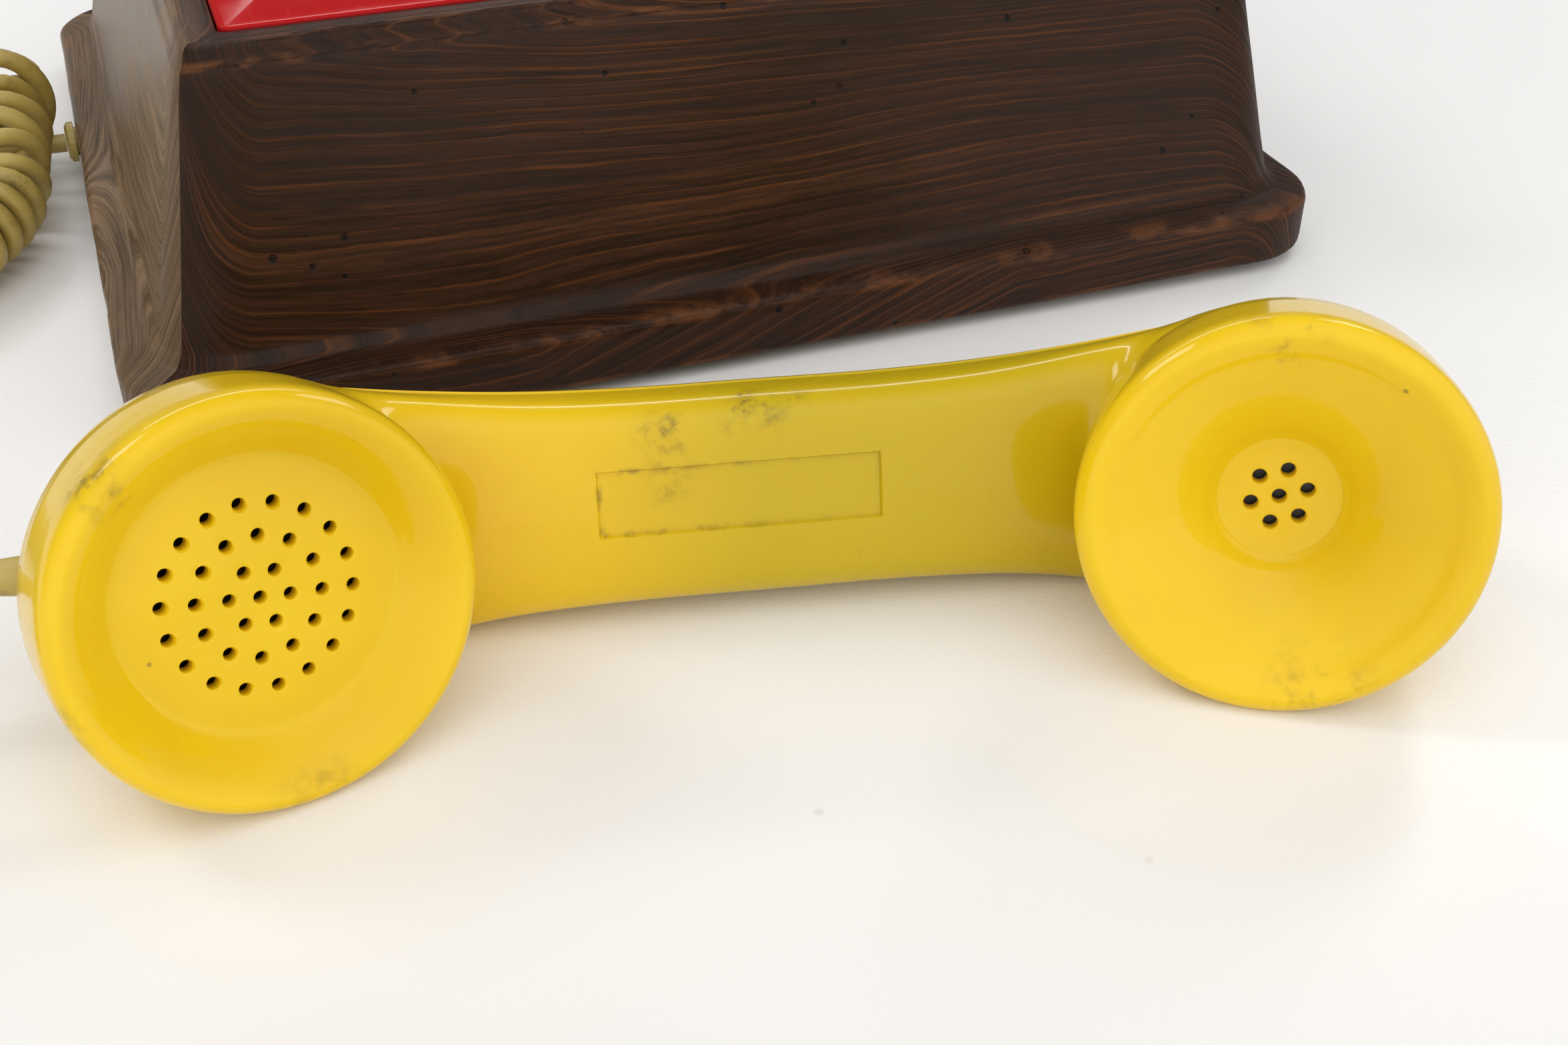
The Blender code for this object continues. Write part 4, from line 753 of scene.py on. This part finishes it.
def make_case():
    prof = [(1.2, 0.0), (0.45, 0.25), (0.1, 0.8), (0.0, 1.6), (0.0, 3.4), (0.0, 5.4), (0.0, 7.4), (0.0, 9.4), (0.1, 10.4), (0.45, 11.1),
            (1.1, 11.55), (2.4, 11.9), (4.2, 12.2), (6.0, 12.45), (7.0, 12.9), (7.7, 13.7)]
    prof += [(case_inset(z), z) for z in [15.0 + 49.0 * k / 22 for k in range(23)]]
    prof += [(RIM_INSET + 0.25, SIDE_TOP + 0.05), (RIM_INSET + 0.7, SIDE_TOP + 0.5), (RIM_INSET + 1.1, SIDE_TOP + 1.6), (RIM_INSET + 1.5, CASE_TOP - 1.2),
             (RIM_INSET + 2.0, CASE_TOP - 0.4), (RIM_INSET + 2.7, CASE_TOP), (RIM_INSET + 3.4, CASE_TOP - 0.05), (RIM_INSET + 4.0, CASE_TOP - 0.5),
             (RIM_INSET + 4.5, CASE_TOP - 0.55), (RIM_INSET + 5.1, CASE_TOP - 0.2), (RIM_INSET + 7.6, CASE_TOP - 0.45),
             (PANEL_INSET - 0.9, CASE_TOP - 0.6), (PANEL_INSET - 0.4, CASE_TOP - 1.0), (PANEL_INSET - 0.4, 66.4)]
    inner = [(PANEL_INSET - 0.4, 65.0), (34.0, 65.0), (34.0, 61.0), (29.5, 60.4), (27.0, 46.0), (22.5, 30.0), (18.5, 16.0),
             (14.5, 6.0), (11.0, PLATE_T + 0.4), (5.0, PLATE_T + 0.4), (5.0, 0.0)]
    rings = []
    for inset, z in prof + inner:
        r = max(PLINTH_R - 0.75 * inset, 2.6)
        ring = rounded_rect(CASE_LEN / 2 - inset, CASE_WID / 2 - inset, r, z, per=10, step=64)
        out = []
        for p in ring:
            v = Vector(p)
            if (inset, z) in prof:
                # hand-rubbed waviness, strongest on the plinth's edges
                side = Vector((v.x / (CASE_LEN / 2), v.y / (CASE_WID / 2), 0))
                n = Vector((math.copysign(abs(side.x) ** 12, side.x), math.copysign(abs(side.y) ** 12, side.y), 0.0))
                n = n.normalized() if n.length > 0 else n
                amp = 0.10
                if z < 13.0:
                    amp = 0.22
                if 64.0 < z:
                    amp = 0.14
                k = noise.noise(v * 0.045) + 0.5 * noise.noise(v * 0.16 + Vector((7, 1, 4)))
                v = v - n * (amp * (0.6 + k))
                if z > 66.0 or 11.0 < z < 13.0:
                    v.z += 0.10 * noise.noise(v * 0.09 + Vector((2, 9, 5))) - 0.05
                for cx, cy, cz, rad, deep in DENTS:
                    d = (v - Vector((cx, cy, cz))).length / rad
                    if d < 1.0:
                        v = v - n * deep * (1 - d * d) ** 2
            out.append(tuple(v))
        rings.append(out)
    ob = skin("wood_case_skin", rings, closed_path=True, sharp=50.0)
    tools = [box_mesh("c1", (HOOK_X - 10.0, 74.0, 35.0), (HOOK_X + 4.0, 112.0, 45.0), bevel=0.8),
             box_mesh("c2", (96.0, LOUD_Y - LOUD_R - 0.6, LOUD_Z - 2.3), (126.0, LOUD_Y + LOUD_R + 0.6, LOUD_Z + 2.3), bevel=0.6),
             revolve("c3", [(0, -20), (3.6, -20), (3.6, 20), (0, 20)], 32,
                     Matrix.Translation((-119.0 * S, 31.0 * S, 6.0 * S)) @ Matrix.Rotation(math.pi / 2, 4, 'Y'))]
    for sx in (-1, 1):
        for sy in (-1, 1):
            tools.append(revolve("c4", [(0, -1.0), (1.8, -1.0), (1.8, 8.6), (0, 8.6)], 16, Matrix.Translation((sx * 116.0 * S, sy * 60.0 * S, 0))))
    return carve(ob, *tools, sharp=50.0)


DENTS = [(-2.0, -105.0, 11.5, 5.0, 0.5), (24.0, -105.0, 11.6, 4.0, 0.45), (-52.0, -105.2, 11.4, 3.5, 0.4), (70.0, -105.0, 11.2, 6.0, 0.5),
         (-100.0, -104.0, 11.4, 5.0, 0.5), (103.0, -103.0, 10.6, 6.0, 0.6), (-124.0, -60.0, 11.2, 6.0, 0.5), (-125.0, 20.0, 11.2, 5.0, 0.4),
         (-60.0, -86.0, 64.8, 4.0, 0.3), (10.0, -86.0, 65.0, 4.0, 0.35), (62.0, -86.0, 64.6, 5.0, 0.3), (125.0, 40.0, 9.0, 5.0, 0.4),
         (-70.0, 105.5, 10.0, 5.0, 0.5), (40.0, 105.5, 11.0, 6.0, 0.5), (-105.5, -85.0, 64.0, 5.0, 0.4)]
case = make_case()
piece(case, "root", "dark_wood", "wood_case")

# ------------------------------------------------------------------ face panel
hx, hy = CASE_LEN / 2 - PANEL_INSET, CASE_WID / 2 - PANEL_INSET
pr = [rounded_rect(hx, hy, 2.2, PANEL_TOP - PANEL_T, 8)]
pr += [rounded_rect(hx, hy, 2.2, PANEL_TOP - 0.9, 8)]
for k in range(1, 7):
    a = math.radians(90.0 * k / 6)
    pr.append(rounded_rect(hx - 0.7 * (1 - math.cos(a)), hy - 0.7 * (1 - math.cos(a)), 2.2 - 0.7 * (1 - math.cos(a)), PANEL_TOP - 0.9 + 0.9 * math.sin(a), 8))
panel = skin("face_panel_gloss", pr, sharp=50.0)
carve(panel, revolve("p1", [(0, 60), (34.0, 60), (34.0, 67.9), (34.6, 68.6), (34.6, 75), (0, 75)], 96, Matrix.Translation((DIAL_X * S, 0, 0))), sharp=50.0)
piece(panel, "root", "red_panel", "face_panel")

# ------------------------------------------------------------------ dial
AT_DIAL = Matrix.Translation((DIAL_X * S, 0, LIFT * S))


def round_ring(r0, r1, z0, z1, e, seg=4):
    """Profile of a ring with rounded edges."""
    pts = []
    for cx, cz, a0 in ((r1 - e, z1 - e, 90), (r1 - e, z0 + e, 0), (r0 + e, z0 + e, 270), (r0 + e, z1 - e, 180)):
        for k in range(seg + 1):
            a = math.radians(a0 - 90.0 * k / seg)
            pts.append((cx + e * math.cos(a), cz + e * math.sin(a)))
    return pts


ring = revolve("dial_bezel", [(52.4, 60.4), (52.4, 64.9), (52.7, 65.5), (53.3, 65.9), (54.0, 66.0), (54.9, 65.95), (55.7, 65.6), (56.2, 65.1),
                              (56.4, 64.5), (56.5, 63.0), (56.5, 60.4)], 160, AT_DIAL, ring=True)
piece(ring, "root", "chrome", "dial_ring")
plate = revolve("dial_number_plate", round_ring(8.5, 52.0, 60.35, 62.3, 0.35), 160, AT_DIAL, ring=True)
piece(plate, "root", "white_enamel", "number_plate")


def clock(r, deg):
    a = math.radians(deg)
    return DIAL_X + r * math.cos(a), -r * math.sin(a)


wheel_profile = [(2.9, 64.0), (2.9, 65.4), (15.3, 65.4), (15.6, 65.7), (15.6, 66.3), (15.9, 66.6), (36.6, 66.6), (37.4, 66.4), (37.85, 65.9), (38.0, 65.3),
                 (37.85, 64.6), (37.4, 64.15), (36.8, 64.0)]
wheel = revolve("finger_wheel_gloss", wheel_profile, 180, AT_DIAL, ring=True)
cutters = []
for k in range(10):
    x, y = clock(HOLE_PITCH_R, FIRST_DEG - 30.0 * k)
    cutters.append(revolve("h", [(0, 60), (7.2, 60), (7.2, 63.6), (6.4, 64.4), (6.4, 66.0), (6.6, 66.4), (7.1, 66.7), (7.1, 70), (0, 70)], 48,
                           Matrix.Translation((x * S, y * S, LIFT * S))))
carve(wheel, *cutters)
piece(wheel, "finger_wheel", "yellow_plastic", "finger_wheel")

digits = []
for k in range(10):
    x, y = clock(45.0, FIRST_DEG - 30.0 * k)
    cu = bpy.data.curves.new("digit", 'FONT')
    cu.body = str((k + 1) % 10)
    cu.size = 8.4 * S
    cu.extrude = 0.03 * S
    cu.offset = 0.12 * S
    cu.align_x = 'CENTER'
    cu.align_y = 'CENTER'
    cu.resolution_u = 4
    ob = bpy.data.objects.new("digit", cu)
    scene.collection.objects.link(ob)
    m4 = Matrix(((0, -1, 0), (1, 0, 0), (0, 0, 1))).transposed().to_4x4()
    m4 = Matrix((Vector((0, -1, 0)), Vector((1, 0, 0)), Vector((0, 0, 1)))).transposed().to_4x4()
    m4.translation = Vector((x, y, 62.34 + LIFT)) * S
    ob.matrix_world = m4
    bpy.context.view_layer.update()
    dg = bpy.context.evaluated_depsgraph_get()
    me = bpy.data.meshes.new_from_object(ob.evaluated_get(dg))
    me.transform(m4)
    new = bpy.data.objects.new("digit_mesh", me)
    scene.collection.objects.link(new)
    bpy.data.objects.remove(ob, do_unlink=True)
    digits.append(new)
numbers = join_all("dial_numbers", digits)
piece(numbers, "root", INK, slot="black_phenolic")

window = revolve("card_window_clear", [(0, 69.0), (2.5, 68.94), (5.0, 68.75), (7.5, 68.45), (10.0, 68.05), (12.3, 67.6), (14.0, 67.15), (14.7, 66.85), (14.75, 66.6),
                                       (14.2, 66.5), (12.0, 66.6), (10.0, 66.75), (6.0, 67.2), (3.2, 67.5), (0, 67.6)], 96, AT_DIAL)
piece(window, "finger_wheel", "clear_plastic", "card_window")
card = revolve("number_card_paper", round_ring(3.0, 15.1, 65.75, 66.25, 0.12, 2), 96, AT_DIAL, ring=True)
piece(card, "finger_wheel", "card", "number_card")

# finger stop: a bent strip, rounded all over
stop_m = AT_DIAL @ Matrix.Rotation(-math.radians(STOP_DEG), 4, 'Z')
stop = box_mesh("finger_stop_bent", (26.0, -2.0, 67.6), (48.9, 2.0, 69.0), stop_m, bevel=0.45)
carve(stop, revolve("s1", [(0, 67.6), (2.8, 67.6), (3.2, 68.0), (3.2, 68.6), (2.8, 69.0), (0, 69.0)], 32, stop_m @ Matrix.Translation((25.5 * S, 0, 0))),
      box_mesh("s2", (40.5, -2.4, 62.65), (49.0, 2.4, 68.6), stop_m, bevel=0.5), op='UNION')
piece(stop, "root", "chrome", "finger_stop")


# ------------------------------------------------------------------ hook lever
def make_hook():
    z0 = HOOK_Z
    pts = [(66.0, z0 - 3.0), (97.6, z0 - 3.0), (98.7, z0 - 3.5), (99.0, z0 - 4.6), (99.0, z0 - 15.0), (99.4, z0 - 17.0), (100.4, z0 - 18.2),
           (102.0, z0 - 18.5), (136.0, z0 - 18.5), (137.8, z0 - 18.0), (138.5, z0 - 16.8), (138.5, z0 - 15.2), (137.8, z0 - 14.0),
           (136.0, z0 - 13.5), (108.6, z0 - 13.5), (106.6, z0 - 13.0), (105.4, z0 - 11.8), (105.0, z0 - 10.0)]
    outline = pts + [(y, 2 * z0 - z) for y, z in reversed(pts)]
    bm = bmesh.new()
    face = bm.faces.new([bm.verts.new(((HOOK_X - 1.6) * S, y * S, z * S)) for y, z in outline])
    made = bmesh.ops.extrude_face_region(bm, geom=[face])
    bmesh.ops.translate(bm, vec=(3.2 * S, 0, 0), verts=[g for g in made["geom"] if isinstance(g, bmesh.types.BMVert)])
    bmesh.ops.recalc_face_normals(bm, faces=bm.faces)
    ob = new_object("hook_lever_rounded", bm)
    mod = ob.modifiers.new("round", 'BEVEL')
    mod.width = 0.9 * S
    mod.segments = 4
    mod.limit_method = 'ANGLE'
    mod.angle_limit = math.radians(50)
    bpy.context.view_layer.update()
    bake(ob)
    carve(ob, revolve("hub", [(0, z0 - 4.6), (4.2, z0 - 4.6), (4.6, z0 - 4.2), (4.6, z0 + 4.2), (4.2, z0 + 4.6), (0, z0 + 4.6)], 40,
                      Matrix.Translation((HOOK_X * S, HOOK_Y * S, 0))), op='UNION')
    carve(ob, revolve("bore", [(0, z0 - 9), (1.8, z0 - 9), (1.8, z0 + 9), (0, z0 + 9)], 24, Matrix.Translation((HOOK_X * S, HOOK_Y * S, 0))))
    return ob


piece(make_hook(), "hook", "chrome", "hook_lever")


# ------------------------------------------------------------------ handset
def section(cx, cz, dx, dz, w, t, power, n=72):
    """A ring across the grip; the back half stands a hair proud along a parting line."""
    angles = sorted([2 * math.pi * k / n for k in range(n)] + [math.radians(a) for a in (-6.5, 186.5, 353.4, 186.4 + 0.2)][0:0]
                    + [math.radians(a) for a in (352.6, 353.2, 186.8, 187.4)])
    pts = []
    for a in angles:
        c, s = math.cos(a), math.sin(a)
        u = math.copysign(abs(c) ** (2 / power), c) * w / 2
        v = math.copysign(abs(s) ** (2 / power), s) * t / 2
        deg = math.degrees(a)
        if 187.0 <= deg <= 352.9:
            fade = min(1.0, max(0.0, (power - 2.0) / 0.6))
            k = 1.0 + 0.012 * fade
            u *= k
            v -= 0.15 * fade * abs(s)
        pts.append((cx + dx * v, u, cz + dz * v))
    return pts


def cap_axes(sign, tilt):
    a = math.radians(tilt)
    return Vector((sign * HALF, 0, 0)), Vector((-sign * math.sin(a), 0, math.cos(a))), Vector((math.cos(a), 0, sign * math.sin(a)))


def cap_matrix(sign, tilt):
    return HAND @ Matrix.Translation((sign * HALF * S, 0, 0)) @ Matrix.Rotation(-sign * math.radians(tilt), 4, 'Y')


NECK = [((-52.8, -30.0), (-109.5, -16.0), 58.8, 2.0), ((-52.4, -30.5), (-104.5, -31.0), 54.0, 2.1),
        ((-51.0, -30.8), (-93.5, -44.0), 47.5, 2.3), ((-48.0, -30.9), (-78.0, -51.4), 42.0, 2.6),
        ((-42.5, -30.9), (-60.0, -53.6), 38.0, 2.9), ((-34.0, -30.9), (-39.5, -53.2), 35.2, 3.2),
        ((-20.0, -30.9), (-20.0, -52.9), HANDLE_W, 3.3)]


def make_handset():
    tc, tn, te = cap_axes(-1, TX_TILT)
    rc, rn, re = cap_axes(1, RX_TILT)

    def disc(c, nrm, inward, depth, rad):
        o = c - nrm * depth
        a, b = o + inward * rad, o - inward * rad
        return (a.x, a.z, b.x, b.z, 2 * rad, 2.0)

    left = [(i[0], i[1], b[0], b[1], w, p) for i, b, w, p in NECK]
    right = [(-i[0], i[1], -b[0], b[1], w, p) for i, b, w, p in reversed(NECK)]
    # shoulder rings under each cap, then the swept grip
    chain = [disc(tc, tn, te, 17.9, 30.6)] + left + [(0.0, -30.9, 0.0, -52.9, HANDLE_W, 3.3)] + right + [disc(rc, rn, -re, 17.9, 30.6)]
    dense = curve_through(chain, 7)
    stations = [disc(tc, tn, te, 11.0, 26.3), disc(tc, tn, te, 11.3, 26.6), disc(tc, tn, te, 17.5, 26.6), disc(tc, tn, te, 17.6, 26.9),
                disc(tc, tn, te, 17.62, 30.0)] + dense + \
               [disc(rc, rn, -re, 17.62, 30.0), disc(rc, rn, -re, 17.6, 26.9), disc(rc, rn, -re, 17.5, 26.6), disc(rc, rn, -re, 11.3, 26.6),
                disc(rc, rn, -re, 11.0, 26.3)]
    rings = []
    for ix, iz, bx, bz, w, p in stations:
        t = math.hypot(ix - bx, iz - bz)
        rings.append(section((ix + bx) / 2, (iz + bz) / 2, (ix - bx) / t, (iz - bz) / t, w, t, max(p, 2.0)))
    ob = skin("handset_shell_gloss", rings, sharp=38.0)
    ob.data.transform(HAND)
    tools = [revolve("k1", [(0, -24), (24.2, -24), (24.2, 2), (0, 2)], 64, cap_matrix(-1, TX_TILT)),
             revolve("k2", [(0, -24), (24.2, -24), (24.2, 2), (0, 2)], 64, cap_matrix(1, RX_TILT)),
             revolve("k3", [(0, -116), (3.4, -116), (3.4, -72), (0, -72)], 28, HAND @ Matrix.Translation((0, 0, -25.0 * S)) @ Matrix.Rotation(math.pi / 2, 4, 'Y'))]
    # sunk label field: sloping walls
    lab = bmesh.new()
    lo, hi = [], []
    for sx, sy in ((-1, -1), (1, -1), (1, 1), (-1, 1)):
        lo.append(lab.verts.new(((-4.2 + sx * 22.5) * S, (1.8 + sy * 5.2) * S, -31.55 * S)))
        hi.append(lab.verts.new(((-4.2 + sx * 23.6) * S, (1.8 + sy * 6.3) * S, -29.6 * S)))
    lab.faces.new(list(reversed(lo)))
    lab.faces.new(hi)
    for k in range(4):
        j = (k + 1) % 4
        lab.faces.new((lo[k], lo[j], hi[j], hi[k]))
    bmesh.ops.recalc_face_normals(lab, faces=lab.faces)
    bmesh.ops.transform(lab, matrix=HAND, verts=lab.verts)
    tools.append(new_object("k4", lab, 20.0))
    return carve(ob, *tools, sharp=38.0)


shell = make_handset()
piece(shell, "handset", yellow_plastic("yellow_shell_m", coat=0.42), "handset_shell", slot="yellow_plastic")


def front_profile(pts, skirt, per=7):
    mirror = (-pts[1][0], pts[1][1])
    beyond = (2 * pts[-1][0] - pts[-2][0], 2 * pts[-1][1] - pts[-2][1])
    return [(max(r, 0.0), z) for r, z in curve_through(pts, per, (mirror, beyond))] + skirt


TX_FRONT = [(0, -6.4), (9.0, -6.6), (16.0, -7.2), (19.4, -7.75), (20.9, -7.6), (22.3, -6.2), (24.5, -3.6), (26.8, -1.3), (28.9, -0.15), (30.4, -0.9), (CAP_R, -3.4),
            (31.2, -10.0)]
RX_FRONT = [(0, -14.0), (8.2, -14.0), (10.0, -13.4), (12.2, -11.2), (16.0, -7.9), (21.0, -4.5), (24.4, -2.5), (26.4, -0.95), (28.5, 0.0), (30.3, -0.85), (CAP_R, -3.2),
            (31.2, -10.0)]
SKIRT = [(31.0, -14.0), (30.85, -17.0), (30.6, -17.4), (27.3, -17.4)]
tx_prof = front_profile(TX_FRONT, SKIRT + [(27.2, -9.2), (20.0, -10.6), (16.0, -9.8), (9.0, -9.1), (0, -8.9)])
rx_prof = front_profile(RX_FRONT, SKIRT + [(27.2, -7.2), (22.0, -6.6), (16.4, -9.8), (12.0, -13.6), (9.0, -16.6), (0, -16.6)])


def surface_z(prof, r):
    for (r0, z0), (r1, z1) in zip(prof, prof[1:]):
        if r0 <= r <= r1 and r1 > r0:
            return z0 + (z1 - z0) * (r - r0) / (r1 - r0)
    return prof[0][1]


def hole_ring(r, count, phase):
    return [(r * math.cos(phase + 2 * math.pi * k / count), r * math.sin(phase + 2 * math.pi * k / count)) for k in range(count)]


def drilled_cap(name, prof, sign, tilt, spots, r):
    ob = revolve(name, prof, 180, cap_matrix(sign, tilt), sharp=50.0)
    bm = bmesh.new()
    for x, y in spots:
        z = surface_z(prof, math.hypot(x, y))
        rows = [(r, z - 9.0), (r, z - 0.28), (r + 0.08, z - 0.12), (r + 0.26, z + 0.03), (r + 0.26, z + 2.0)]
        n = 20
        loops = [[bm.verts.new(((x + q * math.cos(2 * math.pi * k / n)) * S, (y + q * math.sin(2 * math.pi * k / n)) * S, w * S)) for k in range(n)]
                 for q, w in rows]
        for a, b in zip(loops, loops[1:]):
            for k in range(n):
                j = (k + 1) % n
                bm.faces.new((a[k], a[j], b[j], b[k]))
        bm.faces.new(list(reversed(loops[0])))
        bm.faces.new(loops[-1])
    bmesh.ops.recalc_face_normals(bm, faces=bm.faces)
    bmesh.ops.transform(bm, matrix=cap_matrix(sign, tilt), verts=bm.verts)
    return carve(ob, new_object("drill", bm, 30.0), sharp=50.0)


R1 = 4.43
tx_spots = [(0.0, 0.0)] + hole_ring(R1, 6, -0.09) + hole_ring(R1 * 2.078, 12, -0.09) + hole_ring(R1 * 3.158, 18, -0.09)
rx_spots = [(0.0, 0.0)] + hole_ring(R1, 6, 0.24)
tx = drilled_cap("transmitter_cap_gloss", tx_prof, -1, TX_TILT, tx_spots, 0.95)
rx = drilled_cap("receiver_cap_gloss", rx_prof, 1, RX_TILT, rx_spots, 1.15)
piece(tx, "handset", "yellow_plastic", "transmitter_cap")
piece(rx, "handset", "yellow_plastic", "receiver_cap")

boot = revolve("handset_boot_smooth", [(2.2, 12.0), (2.55, 11.7), (2.75, 9.0), (3.0, 6.2), (3.1, 4.0), (3.1, -2.0), (1.2, -2.0), (1.2, 12.0)], 40,
               HAND @ Matrix.Translation((-108.0 * S, 0, -25.0 * S)) @ Matrix.Rotation(-math.pi / 2, 4, 'Y'), ring=True)
piece(boot, "handset", "cord_vinyl", "handset_boot")

# ------------------------------------------------------------------ bumpers
for i, (sx, sy) in enumerate([(sx, sy) for sx in (-1, 1) for sy in (-1, 1)]):
    b = revolve("bumper_foot_%d" % (i + 1), [(0, -0.32), (6.6, -0.32), (6.95, -0.6), (6.9, -1.2), (6.5, -2.1), (6.0, -2.45), (5.4, -2.5), (0, -2.5)], 48,
                Matrix.Translation((sx * 104.0 * S, sy * 86.0 * S, 0)))
    piece(b, "root", "rubber", "bumper_%d" % (i + 1))


# ------------------------------------------------------------------ floor and light
def make_floor():
    bm = bmesh.new()
    bmesh.ops.create_grid(bm, x_segments=2, y_segments=2, size=4.0, matrix=Matrix.Translation((0, 0, FLOOR * S)))
    ob = new_object("floor", bm, None)
    m = Mat("floor_m", rough=0.3, IOR=1.4)
    n = m.noise(m.pos, 5.0, 3.0)
    f = m.noise(m.pos, 900.0, 3.0, 0.6)
    col = m.mix(m.span(n, 0.3, 0.7), (0.87, 0.865, 0.86), (0.90, 0.895, 0.888))
    d, c = m.cells(m.pos, 26.0)
    dirt = m.math('MULTIPLY', m.span(d, 0.035, 0.015), m.span(m.xyz(c)[0], 0.75, 0.78, 0.0, 0.35))
    m.set('Base Color', m.mix(dirt, col, (0.45, 0.42, 0.38)))
    m.set('Normal', m.bump(f, 0.12, 0.0004))
    ob.data.materials.append(m.m)


make_floor()


def area(name, loc, target, size, energy, color=(1, 1, 1)):
    li = bpy.data.lights.new(name, 'AREA')
    li.shape = 'RECTANGLE'
    li.size, li.size_y = size
    li.energy = energy
    li.color = color
    ob = bpy.data.objects.new(name, li)
    scene.collection.objects.link(ob)
    d = Vector(target) - Vector(loc)
    ob.location = loc
    ob.rotation_euler = d.to_track_quat('-Z', 'Y').to_euler()
    return ob


area("box_left", (-0.80, 0.42, 0.95), (-0.02, -0.08, 0.0), (0.34, 0.52), 3.6, (1.0, 0.99, 0.98))
area("box_right", (0.95, 0.50, 0.95), (0.0, -0.08, 0.0), (0.34, 0.52), 2.7, (1.0, 0.99, 0.98))
area("strip_back", (0.0, 1.10, 0.78), (0.0, -0.10, 0.0), (1.30, 0.10), 2.8, (1.0, 0.99, 0.98))
world = bpy.data.worlds.new("studio")
world.use_nodes = True
wt = world.node_tree
bg = wt.nodes["Background"]
geo = wt.nodes.new('ShaderNodeTexCoord')
sep = wt.nodes.new('ShaderNodeSeparateXYZ')
wt.links.new(geo.outputs['Generated'], sep.inputs[0])
# brighter in front of the table and overhead than beyond it
back = wt.nodes.new('ShaderNodeMapRange')
back.interpolation_type = 'SMOOTHSTEP'
wt.links.new(sep.outputs[1], back.inputs[0])
for k, v in zip((1, 2, 3, 4), (-0.45, 0.42, 1.32, 0.20)):
    back.inputs[k].default_value = v
high = wt.nodes.new('ShaderNodeMapRange')
high.interpolation_type = 'SMOOTHSTEP'
wt.links.new(sep.outputs[2], high.inputs[0])
for k, v in zip((1, 2, 3, 4), (0.82, 1.0, 0.0, 0.48)):
    high.inputs[k].default_value = v
total = wt.nodes.new('ShaderNodeMath')
total.operation = 'ADD'
wt.links.new(back.outputs[0], total.inputs[0])
wt.links.new(high.outputs[0], total.inputs[1])
wt.links.new(total.outputs[0], bg.inputs[1])
bg.inputs[0].default_value = (1.0, 0.995, 0.985, 1.0)
scene.world = world
scene.view_settings.view_transform = 'Standard'
scene.view_settings.look = 'None'
